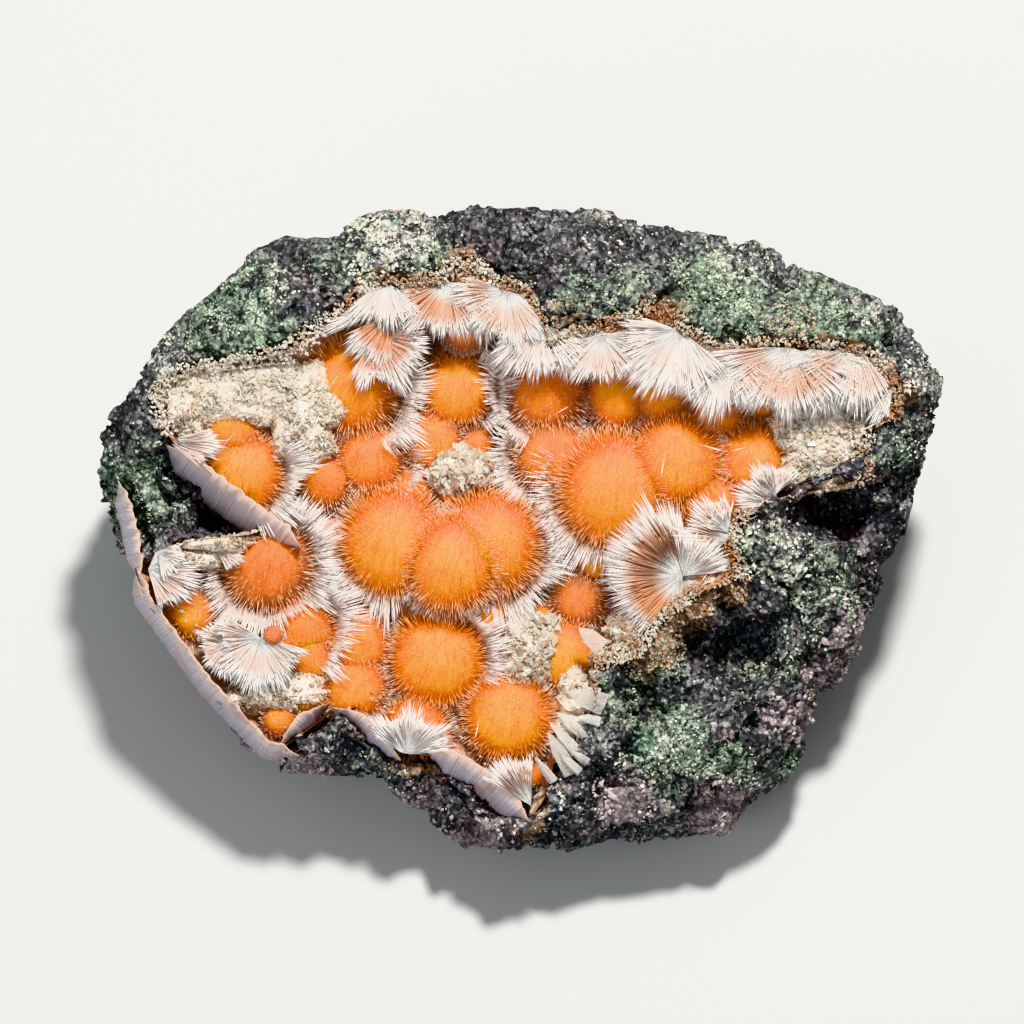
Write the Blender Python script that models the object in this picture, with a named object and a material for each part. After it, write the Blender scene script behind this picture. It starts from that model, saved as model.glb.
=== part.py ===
"""A thomsonite specimen: a piece of basalt, 84 mm wide, with a hollow lined by fibrous crystals.

The hollow's face leans towards the viewer while the rock stands on a flat broken base. Everything is
laid out in the frame of that face, in millimetres: across to the right, up the face, and out of the
face. The base's centre is the origin, +Z is up and the face looks up and towards -Y.
"""

import math
import random

import bmesh
import bpy
from mathutils import Matrix, Vector, noise

MM = 0.001

# How the crystal face stands over the base.
FACE_SLOPE = math.radians(25)  # between the face and the level
FACE_HEIGHT = 27.0  # the face's centre above the base
FACE_BACK = -6.5  # the face's centre behind the base's centre

# The rock.
ROCK_FINENESS = 5  # icosphere subdivisions
ROCK_KEPT = 0.7  # share of its triangles kept, the even stretches losing most
WIDEST_DEPTH = 9.0  # how far behind the face the rock is widest
BACK_DEPTH = 34.0  # from the widest section to the deepest point behind it
MOST_LEVEL = 0.96  # the rock's edge is round at least over the rest of its reach

# The hollow and what lines it.
GAP = 0.3  # between the rock and the crust
RIM_STEPS = 54  # facets round the hollow
RINGS = (0.0, 0.4, 0.7, 0.9, 1.0)  # where its floor bends, as shares of the way to the rim
RIM_DEPTH = 3.2  # the hollow's depth at its rim
MIDDLE_DEPTH = 10.5  # and in its middle
LINING_RIM = -1.0  # the lining's surface at the rim, measured out of the face
LINING_MIDDLE = -5.4
OPEN_HEIGHT = 15.0  # the hollow's cutter reaches this far out of the face
BIG_BALL = 6.9  # balls from this radius up have 80 spines, smaller ones 30
SPINE_FOOT = 0.86  # where the spines start, as a share of the radius at their tips

# The rock's outline as the face's viewer sees it, anticlockwise from the right.
ROCK_OUTLINE = [
    (40.1, 7.5), (41.1, 10.0), (40.8, 12.2), (41.8, 15.2), (39.7, 17.2), (38.6, 20.0), (37.9, 21.8),
    (35.6, 23.0), (32.6, 23.3), (28.9, 25.2), (26.1, 25.4), (25.2, 27.5), (23.6, 28.4), (19.6, 28.0),
    (14.1, 30.0), (11.6, 30.2), (8.6, 31.7), (5.1, 32.1), (2.1, 31.8), (-0.9, 32.2), (-2.7, 31.7),
    (-4.4, 32.7), (-6.9, 31.9), (-9.4, 31.3), (-11.4, 32.1), (-15.9, 32.0), (-17.9, 31.0),
    (-18.4, 29.3), (-23.4, 28.6), (-26.4, 28.0), (-28.4, 26.5), (-30.4, 23.5), (-34.1, 22.2),
    (-36.4, 19.5), (-38.7, 16.8), (-39.6, 14.5), (-41.9, 11.2), (-42.1, 6.8), (-41.6, 3.0),
    (-40.4, 0.0), (-39.9, -2.2), (-38.9, -7.0), (-35.9, -11.0), (-32.4, -16.0), (-26.2, -22.5),
    (-23.4, -23.5), (-17.9, -24.5), (-14.4, -24.5), (-12.4, -26.5), (-8.9, -29.0), (-5.4, -31.8),
    (-2.9, -32.4), (0.6, -31.5), (4.1, -32.0), (7.6, -31.5), (12.6, -31.0), (15.6, -29.8),
    (19.1, -29.3), (21.6, -26.5), (24.1, -25.5), (26.6, -24.0), (27.6, -21.0), (29.6, -17.0),
    (32.1, -15.0), (34.1, -11.0), (34.9, -7.0), (36.1, -3.5), (37.9, -1.0), (39.1, 3.0),
]

# The rim of the hollow, the same way round. At the lower left it runs out past the rock's edge.
HOLLOW_OUTLINE = [
    (34.4, 4.6), (34.4, 10.0), (37.1, 11.2), (37.6, 14.5), (36.1, 17.0), (32.6, 18.5), (25.6, 19.0),
    (19.6, 18.5), (16.6, 20.0), (14.1, 22.2), (11.6, 22.0), (6.6, 20.3), (2.6, 18.8), (2.1, 21.2),
    (0.1, 24.2), (-2.4, 25.2), (-4.9, 26.8), (-6.9, 26.8), (-9.4, 25.2), (-12.4, 24.7),
    (-13.9, 25.5), (-16.4, 24.5), (-17.9, 22.5), (-22.4, 19.5), (-24.4, 18.0), (-30.9, 16.8),
    (-35.9, 16.0), (-37.2, 13.5), (-36.4, 10.0), (-34.9, 8.0), (-29.9, 4.0), (-24.4, 0.5),
    (-28.9, -0.5), (-34.4, -1.2), (-38.4, -2.2), (-42.5, -5.0), (-41.5, -10.0), (-38.5, -15.5),
    (-33.6, -20.4), (-28.2, -25.4), (-24.4, -23.6), (-20.5, -19.3), (-17.9, -18.7),
    (-15.4, -21.0), (-12.9, -23.2), (-6.9, -23.6), (-3.4, -27.5), (0.1, -30.6), (2.4, -27.6),
    (3.0, -24.5), (4.6, -23.5), (5.6, -21.0), (7.1, -17.0), (7.1, -13.5), (11.6, -12.2),
    (13.1, -9.0), (17.6, -6.0), (21.6, -4.5), (21.1, -1.5), (22.1, 2.0), (25.6, 3.2),
]

# Knobs (+) and pits (-) of the rock: across, up, radius, height.
ROCK_LUMPS = [
    (-13.9, 29.4, 5.0, 1.8), (-24.0, 25.0, 5.0, 1.2), (-31.5, 19.0, 4.5, 1.0), (3.0, 28.5, 4.0, -1.6),
    (23.0, 26.5, 3.6, 1.6), (40.0, 15.0, 3.4, 1.6), (13.0, 26.0, 5.0, 1.0), (32.0, 1.0, 4.2, -4.5),
    (27.5, -1.5, 4.0, 1.6), (17.5, -7.5, 4.0, 1.5), (22.0, -12.0, 6.5, -3.6), (31.0, -8.0, 4.0, 1.2),
    (12.5, -19.0, 5.5, -3.0), (9.8, -20.5, 3.5, 2.6), (17.0, -21.0, 4.2, 2.6), (24.0, -17.5, 5.0, 1.8),
    (19.5, -24.5, 3.6, 1.8), (-29.5, 1.5, 3.6, -6.0), (-39.0, 5.0, 4.0, 1.2), (-18.5, -21.0, 3.0, 1.2),
    (8.0, -26.0, 4.5, -2.4), (38.0, 5.5, 3.4, -2.0),
]

# Radiating balls: across, up, radius at the needles' tips, how far the top stands out of the face.
BALLS = [
    (-17.4, 14.5, 7.0, -0.4), (-15.6, 7.2, 5.2, -2.4), (-20.2, 5.2, 4.3, -2.8), (-6.9, 14.2, 5.2, -2.8),
    (-9.4, 9.0, 4.3, -3.2), (-13.2, -1.5, 7.1, 0.6), (-7.2, -3.6, 6.3, 1.6), (-3.6, -1.8, 7.1, 0.4),
    (3.1, 13.8, 5.8, -1.8), (2.8, 7.5, 5.3, -2.2), (9.1, 3.8, 7.8, 1.0), (15.4, 6.8, 6.6, 0.2),
    (23.1, 7.0, 5.2, -1.4), (18.6, 2.8, 5.2, -1.6), (9.1, 13.8, 3.8, -2.6), (13.1, 14.4, 4.2, -2.4),
    (18.8, 12.5, 4.0, -2.6), (5.4, -7.2, 3.9, -4.4), (-8.7, -13.2, 6.6, -0.6), (-1.2, -19.2, 5.7, -0.2),
    (3.9, -12.8, 4.3, -2.6), (-17.2, -11.5, 4.4, -2.4), (-17.4, -16.2, 4.0, -1.8),
    (-10.9, -20.5, 4.6, -0.8), (-24.4, -10.2, 5.2, -1.0), (-26.0, -4.0, 6.4, -0.2),
    (-33.6, -9.0, 3.1, -0.8), (-30.0, 10.5, 4.0, -0.6), (-28.2, 5.4, 5.4, 0.2),
]

# Broken balls whose fibres fan out from the rim: across, up, reach, how far out of the face.
FANS = [
    (-14.4, 21.0, 4.6, -0.2), (-15.6, 19.5, 6.0, 0.4), (-8.2, 24.0, 6.4, -0.4), (-1.4, 22.6, 5.4, 0.0),
    (3.4, 18.6, 4.2, 0.0), (7.8, 19.0, 4.8, 0.0), (15.8, 19.0, 5.4, 0.2), (19.8, 18.0, 6.0, 0.2),
    (26.6, 18.4, 7.4, 0.2), (33.6, 18.0, 6.2, 0.0), (36.0, 14.0, 4.0, -0.2), (15.6, -4.2, 8.0, 0.4),
    (21.0, -0.4, 5.6, -0.2), (24.6, 2.8, 5.2, -0.2), (-36.0, 9.2, 5.8, 0.2), (-36.4, -3.4, 4.8, 0.0),
    (-27.4, -10.6, 5.0, 0.2), (0.4, -27.6, 5.4, -0.4),
]

# Patches of small blocky crystals over the lining: across, up, half width, half height, level.
DRUSE_PATCHES = [
    (-28.6, 13.6, 7.8, 2.9, -0.9),
    (30.4, 8.4, 4.2, 4.4, -1.4),
    (-7.2, 6.4, 3.6, 2.0, -4.2),
    (0.8, -12.2, 2.0, 3.2, -2.6),
    (11.2, -10.0, 2.6, 2.0, -1.6),
]
BLOCK_EDGE = 2.8  # mean edge of a block
BLOCK_PITCH = 2.6

# Clear blades at the hollow's lower right: foot across and up, heading in degrees, length.
BLADES = [
    (5.4, -22.6, 112, 6.6), (4.2, -22.4, 122, 6.4), (3.0, -22.8, 130, 5.6), (6.0, -20.4, 108, 6.2),
    (6.4, -18.4, 142, 4.8), (6.2, -16.6, 152, 4.4), (5.2, -21.2, 98, 5.4), (6.0, -19.0, 80, 5.0),
]
BLADE_WIDTH = 1.9
BLADE_THICKNESS = 0.9
BLADE_POINT = 1.35  # a blade's whole length over that of its parallel sides
BLADE_LEAN = math.radians(78)
BLADE_LEVEL = -0.6
BLADE_MOUND = (5.4, -20.4, 2.6, 5.0, -0.4)  # across, up, half width, half height, top
MOUND_DEPTH = 5.0
GROUND_EDGE = 200.0

ACROSS = Vector((1, 0, 0))
UP_FACE = Vector((0, math.cos(FACE_SLOPE), math.sin(FACE_SLOPE)))
OUT_OF_FACE = Vector((0, -math.sin(FACE_SLOPE), math.cos(FACE_SLOPE)))
TO_WORLD = Matrix.Translation((0, FACE_BACK * MM, FACE_HEIGHT * MM)) @ Matrix(
    (ACROSS, UP_FACE, OUT_OF_FACE)
).transposed().to_4x4() @ Matrix.Scale(MM, 4)


def clear_scene():
    for old in list(bpy.data.objects):
        bpy.data.objects.remove(old, do_unlink=True)


def new_collection(name):
    made = bpy.data.collections.new(name)
    bpy.context.scene.collection.children.link(made)
    return made


def material(name, colour, roughness):
    made = bpy.data.materials.new(name)
    made.use_nodes = True
    shader = made.node_tree.nodes["Principled BSDF"]
    shader.inputs["Base Color"].default_value = (*colour, 1.0)
    shader.inputs["Roughness"].default_value = roughness
    shader.inputs["Metallic"].default_value = 0.0
    return made


def by_angle(outline):
    """An outline's corners as (angle, reach), sorted and closed over a full turn."""
    corners = sorted((math.atan2(up, across) % math.tau, math.hypot(across, up)) for across, up in outline)
    first, last = corners[0], corners[-1]
    return [(last[0] - math.tau, last[1]), *corners, (first[0] + math.tau, first[1])]


def reach_at(corners, angle):
    """The outline's reach from the middle of the face, straight in between its corners."""
    angle %= math.tau
    for (a0, r0), (a1, r1) in zip(corners, corners[1:]):
        if a0 <= angle <= a1:
            share = (angle - a0) / max(a1 - a0, 1e-9)
            return r0 + (r1 - r0) * share
    return corners[0][1]


ROCK_CORNERS = by_angle(ROCK_OUTLINE)
HOLLOW_CORNERS = by_angle(HOLLOW_OUTLINE)


def level_share(angle):
    """The share of the rock's reach that lies level with the face: as far as the hollow goes."""
    return min(MOST_LEVEL, reach_at(HOLLOW_CORNERS, angle) / reach_at(ROCK_CORNERS, angle))


def lumps_at(across, up):
    total = 0.0
    for x, y, radius, height in ROCK_LUMPS:
        far = math.hypot(across - x, up - y) / radius
        if far < 1:
            total += height * (1 - far * far) ** 2
    return total


def relief(point, size, seed):
    return noise.noise(Vector(point) / size + Vector((seed, 1.7 * seed, -seed)))


def break_at(point, size, seed):
    """Hackly fracture: flat facets that meet in sharp edges, between about -1 and 1."""
    near, far = noise.voronoi(Vector(point) / size + Vector((seed, -seed, 2 * seed)))[0][:2]
    return 1.6 * (far - near) - 0.8


def rock_point(direction):
    """Where a point of the unit sphere goes on the rock, in the face's frame."""
    angle = math.atan2(direction.y, direction.x)
    tilt = math.hypot(direction.x, direction.y)
    widest = reach_at(ROCK_CORNERS, angle)
    if direction.z >= 0:
        share = tilt ** 0.75
        level = level_share(angle)
        turned = max(0.0, (share - level) / (1 - level))
        out = -WIDEST_DEPTH * (1 - math.sqrt(max(0.0, 1 - turned * turned)))
        frontal = 1 - turned
    else:
        share = tilt ** 0.85
        turned = share
        out = -WIDEST_DEPTH - BACK_DEPTH * abs(direction.z) ** 0.9
        frontal = 0.0
    point = Vector((widest * share * math.cos(angle), widest * share * math.sin(angle), out))
    rough = 2.2 * relief(point, 13, 3.1) + 1.1 * break_at(point, 7.5, 8.4) + 0.9 * relief(point, 2.8, 5.2)
    point.z += rough * frontal + lumps_at(point.x, point.y) * min(1.0, 2 * frontal)
    if direction.z < 0:
        rough *= 1 + 1.2 * min(1.0, -2 * direction.z)
    point.x += 0.7 * rough * turned * math.cos(angle)
    point.y += 0.7 * rough * turned * math.sin(angle)
    return point


def place(bm, name, collection, surface=None, stand=TO_WORLD):
    """An object for a mesh laid out in millimetres: on the face, unless it stands some other way."""
    bmesh.ops.recalc_face_normals(bm, faces=bm.faces)
    mesh = bpy.data.meshes.new(name)
    bm.to_mesh(mesh)
    bm.free()
    made = bpy.data.objects.new(name, mesh)
    made.matrix_world = stand
    collection.objects.link(made)
    if surface:
        mesh.materials.append(surface)
    else:
        made.hide_render = True
        made.display_type = "WIRE"
    return made


def combine(target, other, operation):
    """A live Boolean on target, with an object or with every object of a collection."""
    made = target.modifiers.new(operation.lower(), "BOOLEAN")
    made.operation = operation
    made.solver = "EXACT"
    if isinstance(other, bpy.types.Collection):
        made.operand_type = "COLLECTION"
        made.collection = other
    else:
        made.object = other
    return made


def hollow_floor(share):
    """The depth of the hollow at a share of the way out to its rim."""
    return -RIM_DEPTH - (MIDDLE_DEPTH - RIM_DEPTH) * (1 - share ** 4)


def lining_level(across, up):
    """The surface of the lining between the balls."""
    share = math.hypot(across, up) / crust_reach(math.atan2(up, across))
    fall = 1 - min(1.0, share) ** 5
    return LINING_RIM + (LINING_MIDDLE - LINING_RIM) * fall + 0.5 * relief((across, up, 0), 2.6, 4.4)


def hollow_reach(angle):
    return reach_at(HOLLOW_CORNERS, angle)


def crust_reach(angle):
    """The crust stops short of the hollow's wall, and at the rock's edge where there is no wall."""
    return min(reach_at(HOLLOW_CORNERS, angle) - GAP, reach_at(ROCK_CORNERS, angle))


def disc(reach, level):
    """A spun disc stretched to an outline, each vertex at the level for its share of the way out."""
    bm = bmesh.new()
    spoke = [bm.verts.new((share, 0, 0)) for share in RINGS]
    edges = [bm.edges.new(pair) for pair in zip(spoke, spoke[1:])]
    bmesh.ops.spin(bm, geom=spoke + edges, cent=(0, 0, 0), axis=(0, 0, 1), angle=math.tau, steps=RIM_STEPS)
    bmesh.ops.remove_doubles(bm, verts=bm.verts, dist=0.001)
    for vertex in bm.verts:
        share = vertex.co.length
        angle = math.atan2(vertex.co.y, vertex.co.x)
        far = reach(angle) * share
        vertex.co = (far * math.cos(angle), far * math.sin(angle), level(share))
    return bm


def closed_over(bm, top):
    """Closes a disc with a second skin over it, at the height that top gives for each place."""
    raised = bmesh.ops.extrude_face_region(bm, geom=bm.faces[:])
    for vertex in (v for v in raised["geom"] if isinstance(v, bmesh.types.BMVert)):
        vertex.co.z = top(vertex.co.x, vertex.co.y)
    return bm


def pocket(name, reach, inset, collection):
    """The hollow's own shape, open to the front: its cutter, or the crust's limits."""
    bm = disc(reach, lambda share: hollow_floor(share) + inset)
    return place(closed_over(bm, lambda across, up: OPEN_HEIGHT), name, collection)


def lining(name, collection, surface):
    """The crust between the balls, on the hollow's floor."""
    bm = disc(crust_reach, lambda share: hollow_floor(share) + GAP)
    return place(closed_over(bm, lining_level), name, collection, surface)


def spiny_ball(name, collection, ball, number):
    """A ball of needles, as a coarse sphere with spines: on every face, or on a small one's long corners."""
    across, up, radius, top = ball
    bm = bmesh.new()
    if radius >= BIG_BALL:
        bmesh.ops.create_icosphere(bm, subdivisions=2, radius=SPINE_FOOT * radius)
        for tip in bmesh.ops.poke(bm, faces=bm.faces[:])["verts"]:
            tip.co = tip.co.normalized() * radius
    else:
        bmesh.ops.create_icosphere(bm, subdivisions=2, radius=radius)
        for vertex in bm.verts:
            if len(vertex.link_edges) == 5:
                vertex.co *= SPINE_FOOT
    turn = Matrix.Rotation(1.3 * number, 3, "Z") @ Matrix.Rotation(0.7 * number, 3, "X")
    bmesh.ops.rotate(bm, matrix=turn, verts=bm.verts)
    bmesh.ops.translate(bm, vec=(across, up, top - radius), verts=bm.verts)
    return place(bm, name, collection)


def fan(name, collection, form, number):
    """A broken ball: flat in front, fluted where its fibres end."""
    across, up, radius, front = form
    bm = bmesh.new()
    bmesh.ops.create_uvsphere(bm, u_segments=12, v_segments=3, radius=radius)
    for vertex in bm.verts:
        flute = math.cos(6 * math.atan2(vertex.co.y, vertex.co.x))
        ring = vertex.co.xy.length / radius
        if ring > 0.1:
            vertex.co.xy *= (1.0 + 0.1 * flute) / ring
        if vertex.co.z > 0:
            vertex.co.z = 0.3 * flute * min(1.0, ring)
    bmesh.ops.rotate(bm, matrix=Matrix.Rotation(0.4 * number, 3, "Z"), verts=bm.verts)
    bmesh.ops.translate(bm, vec=(across, up, front), verts=bm.verts)
    return place(bm, name, collection)


def mound(name, collection, across, up, half_width, half_height, top):
    """What the small crystals of one patch stand on."""
    bm = bmesh.new()
    bmesh.ops.create_icosphere(bm, subdivisions=2, radius=1.0)
    bmesh.ops.scale(bm, vec=(half_width, half_height, MOUND_DEPTH), verts=bm.verts)
    bmesh.ops.translate(bm, vec=(across, up, top - MOUND_DEPTH), verts=bm.verts)
    return place(bm, name, collection)


def druse(name, collection, patch, draw):
    """Small blocks grown together over one patch of the lining."""
    across, up, half_width, half_height, level = patch
    mound(f"{name}_mound", collection, across, up, half_width + BLOCK_EDGE, half_height + BLOCK_EDGE, level)
    columns = int(half_width / BLOCK_PITCH)
    rows = int(half_height / BLOCK_PITCH)
    for column in range(-columns, columns + 1):
        for row in range(-rows, rows + 1):
            x = (column + draw.uniform(-0.3, 0.3)) * BLOCK_PITCH
            y = (row + draw.uniform(-0.3, 0.3)) * BLOCK_PITCH
            bm = bmesh.new()
            bmesh.ops.create_cube(bm, size=BLOCK_EDGE * draw.uniform(0.8, 1.3))
            tumble = Matrix.Rotation(draw.uniform(0, 3), 3, "X") @ Matrix.Rotation(draw.uniform(0, 3), 3, "Y")
            bmesh.ops.rotate(bm, matrix=tumble, verts=bm.verts)
            spot = (across + x, up + y, level + draw.uniform(-0.8, 0.2))
            bmesh.ops.translate(bm, vec=spot, verts=bm.verts)
            place(bm, f"{name}_{column}_{row}", collection)


def blade(name, collection, form, number):
    """One clear flat crystal with a pointed end."""
    across, up, heading, length = form
    bm = bmesh.new()
    bmesh.ops.create_cone(bm, cap_ends=True, segments=6, radius1=1.0, radius2=0.9, depth=1.0)
    bmesh.ops.translate(bm, vec=(0, 0, 0.5), verts=bm.verts)
    end = max(bm.faces, key=lambda face: face.calc_center_median().z)
    bmesh.ops.poke(bm, faces=[end])["verts"][0].co.z = BLADE_POINT
    size = (BLADE_WIDTH / 2, BLADE_THICKNESS / 2, length / BLADE_POINT)
    bmesh.ops.scale(bm, vec=size, verts=bm.verts)
    lay = Matrix.Rotation(math.radians(heading), 3, "Z") @ Matrix.Rotation(BLADE_LEAN, 3, "Y")
    lay = lay @ Matrix.Rotation(math.pi / 2 + 0.5 * math.sin(5 * number), 3, "Z")
    bmesh.ops.rotate(bm, matrix=lay, verts=bm.verts)
    lift = BLADE_LEVEL + 0.5 * math.sin(3 * number)
    bmesh.ops.translate(bm, vec=(across, up, lift), verts=bm.verts)
    return place(bm, name, collection)


def crust(name, collection, helpers, surface, limits):
    """Lining, balls, fans, blocks and blades grown into one body inside the hollow."""
    whole = lining(name, collection, surface)
    grown = bpy.data.collections.new("growths")
    helpers.children.link(grown)
    for number, ball in enumerate(BALLS):
        spiny_ball(f"ball_{number}", grown, ball, number)
    for number, form in enumerate(FANS):
        fan(f"fan_{number}", grown, form, number)
    draw = random.Random(7)
    for number, patch in enumerate(DRUSE_PATCHES):
        druse(f"block_{number}", grown, patch, draw)
    mound("blade_mound", grown, *BLADE_MOUND)
    for number, form in enumerate(BLADES):
        blade(f"blade_{number}", grown, form, number)
    combine(whole, grown, "UNION")
    combine(whole, limits, "INTERSECT")
    return whole


def rock(name, collection, helpers, surface, hollow):
    """The basalt, cut flat where it stands and opened by the hollow."""
    bm = bmesh.new()
    bmesh.ops.create_icosphere(bm, subdivisions=ROCK_FINENESS, radius=1.0)
    for vertex in bm.verts:
        vertex.co = rock_point(vertex.co.normalized())
    made = place(bm, name, collection, surface)
    ground = bmesh.new()
    bmesh.ops.create_cube(ground, size=GROUND_EDGE)
    bmesh.ops.translate(ground, vec=(0, 0, -GROUND_EDGE / 2), verts=ground.verts)
    cutter = place(ground, "ground_cutter", helpers, stand=Matrix.Scale(MM, 4))
    made.modifiers.new("even_stretches", "DECIMATE").ratio = ROCK_KEPT
    combine(made, cutter, "DIFFERENCE")
    combine(made, hollow, "DIFFERENCE")
    return made


def main():
    clear_scene()
    specimen = new_collection("thomsonite_specimen")
    helpers = new_collection("cutters")
    basalt = material("basalt", (0.055, 0.062, 0.064), 0.85)
    fibres = material("thomsonite", (0.93, 0.38, 0.11), 0.55)
    hollow = pocket("hollow_cutter", hollow_reach, 0.0, helpers)
    limits = pocket("crust_limits", crust_reach, GAP, helpers)
    rock("basalt_matrix", specimen, helpers, basalt, hollow)
    crust("crystal_crust", specimen, helpers, fibres, limits)


main()
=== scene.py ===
"""A thomsonite specimen: a piece of dark basalt with a hollow full of orange balls of needle crystals.

Each section below is one kind of thing that the specimen is made of, from the rock to the last needle.
"""

import math

import bmesh
import bpy
import numpy as np
from mathutils import Matrix, Vector, noise
from mathutils.bvhtree import BVHTree


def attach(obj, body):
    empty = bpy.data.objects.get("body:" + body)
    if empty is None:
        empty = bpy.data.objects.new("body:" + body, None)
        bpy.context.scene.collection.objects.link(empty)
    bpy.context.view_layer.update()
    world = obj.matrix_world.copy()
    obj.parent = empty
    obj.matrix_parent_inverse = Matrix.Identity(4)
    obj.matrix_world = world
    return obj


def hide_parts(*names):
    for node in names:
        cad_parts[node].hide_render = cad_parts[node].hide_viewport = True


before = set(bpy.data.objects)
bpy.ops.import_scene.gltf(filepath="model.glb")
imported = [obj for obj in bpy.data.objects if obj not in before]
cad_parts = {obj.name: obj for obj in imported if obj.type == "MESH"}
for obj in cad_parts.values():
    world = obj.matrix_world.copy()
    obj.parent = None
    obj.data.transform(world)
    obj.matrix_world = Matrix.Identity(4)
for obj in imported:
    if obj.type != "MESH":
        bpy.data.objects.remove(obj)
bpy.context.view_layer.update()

# The stage: a pale floor, a strong lamp over the rock's far edge and a soft one from the front.
# The crystal face leans 25 degrees and the camera looks straight at it. Everything on the face is laid
# out in millimetres across, up and out of it, as a person who looks at the crystals sees it.
MM = 0.001
FACE_SLOPE = math.radians(25)
FACE_MIDDLE = Vector((0, -6.5, 27.0))
UP_FACE = Vector((0, math.cos(FACE_SLOPE), math.sin(FACE_SLOPE)))
OUT_OF_FACE = Vector((0, -math.sin(FACE_SLOPE), math.cos(FACE_SLOPE)))
FACE_AXES = np.array([(1, 0, 0), UP_FACE, OUT_OF_FACE])
FRAME_WIDTH = 102.4  # millimetres of the face that the picture spans
FRAME_MIDDLE = (-1.2, 1.8)
LENS = 200.0
SENSOR = 36.0
FLOOR_HALF = 1.5  # half the floor's side, in metres


def on_face(points):
    """Face millimetres to metres in the world."""
    return (np.asarray(points, float) @ FACE_AXES + np.array(FACE_MIDDLE)) * MM


def look_along(obj, eye, target):
    obj.location = eye
    obj.rotation_euler = (Vector(target) - Vector(eye)).to_track_quat("-Z", "Y").to_euler()


def add_lamp(name, place, target, size, watts, colour):
    lamp = bpy.data.lights.new(name, "AREA")
    lamp.shape = "DISK"
    lamp.size = size
    lamp.energy = watts
    lamp.color = colour
    obj = bpy.data.objects.new(name, lamp)
    bpy.context.scene.collection.objects.link(obj)
    look_along(obj, on_face(place), on_face(target))


camera = bpy.data.objects.new("camera", bpy.data.cameras.new("camera"))
camera.data.lens = LENS
camera.data.sensor_width = SENSOR
camera.data.clip_start = 0.01
bpy.context.scene.collection.objects.link(camera)
bpy.context.scene.camera = camera
away = FRAME_WIDTH * LENS / SENSOR
look_along(camera, on_face((*FRAME_MIDDLE, away)), on_face((*FRAME_MIDDLE, 0)))

add_lamp("key", (60, 290, 320), (0, 0, 0), 0.06, 3.8, (1.0, 0.97, 0.93))
add_lamp("fill", (-330, -200, 380), (0, 0, 0), 0.40, 1.3, (0.92, 0.96, 1.0))
world = bpy.data.worlds.new("studio")
world.use_nodes = True
daylight = world.node_tree.nodes["Background"]
daylight.inputs["Color"].default_value = (0.86, 0.89, 0.93, 1)
daylight.inputs["Strength"].default_value = 0.42
bpy.context.scene.world = world
bpy.context.scene.view_settings.view_transform = "Khronos PBR Neutral"

sheet = bmesh.new()
bmesh.ops.create_grid(sheet, x_segments=1, y_segments=1, size=FLOOR_HALF)
floor_mesh = bpy.data.meshes.new("floor")
sheet.to_mesh(floor_mesh)
floor = bpy.data.objects.new("floor", floor_mesh)
bpy.context.scene.collection.objects.link(floor)
floor_paint = bpy.data.materials.new("floor")
floor_paint.use_nodes = True
floor_shader = floor_paint.node_tree.nodes["Principled BSDF"]
floor_shader.inputs["Base Color"].default_value = (0.50, 0.50, 0.49, 1)
floor_shader.inputs["Roughness"].default_value = 0.9
floor_mesh.materials.append(floor_paint)

# The basalt: a dark, hackly broken lava whose small cavities and cracks are coated with green celadonite.
# It is one lump, remeshed evenly from the CAD's rock. Its face is cut finer, because it is seen closest.
# The hollow's rim: across, up.
HOLLOW_OUTLINE = [
    (34.4, 4.6), (34.4, 10.0), (37.1, 11.2), (37.6, 14.5), (36.1, 17.0), (32.6, 18.5), (25.6, 19.0),
    (19.6, 18.5), (16.6, 20.0), (14.1, 22.2), (11.6, 22.0), (6.6, 20.3), (2.6, 18.8), (2.1, 21.2),
    (0.1, 24.2), (-2.4, 25.2), (-4.9, 26.8), (-6.9, 26.8), (-9.4, 25.2), (-12.4, 24.7),
    (-13.9, 25.5), (-16.4, 24.5), (-17.9, 22.5), (-22.4, 19.5), (-24.4, 18.0), (-30.9, 16.8),
    (-35.9, 16.0), (-37.2, 13.5), (-36.4, 10.0), (-34.9, 8.0), (-29.9, 4.0), (-24.4, 0.5),
    (-28.9, -0.5), (-34.4, -1.2), (-38.4, -2.2), (-42.5, -5.0), (-41.5, -10.0), (-38.5, -15.5),
    (-33.6, -20.4), (-28.2, -25.4), (-24.4, -23.6), (-20.5, -19.3), (-17.9, -18.7),
    (-15.4, -21.0), (-12.9, -23.2), (-6.9, -23.6), (-3.4, -27.5), (0.1, -30.6), (2.4, -27.6),
    (3.0, -24.5), (4.6, -23.5), (5.6, -21.0), (7.1, -17.0), (7.1, -13.5), (11.6, -12.2),
    (13.1, -9.0), (17.6, -6.0), (21.6, -4.5), (21.1, -1.5), (22.1, 2.0), (25.6, 3.2),
]
ROCK_VOXEL = 1.04
ROCK_FINE_CUTS = 3
ROCK_GROWTH = 0.5  # evening out the rock takes this much off its corners
ROCK_FLANKS = -12  # further down than this from the face, the rock is flank or underside
BASE_BAND = 2.5  # the rock gets even over the last millimetres above its flat base
TALLEST_LUMP = 1.3
# Facets of the break: their size, how steeply they tilt, and a number that sets them.
COARSE_FACETS = (5.5, 0.24, 4.0)
MIDDLE_FACETS = (2.3, 0.36, 9.0)
FINE_FACETS = (1.0, 0.34, 5.0)
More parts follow.
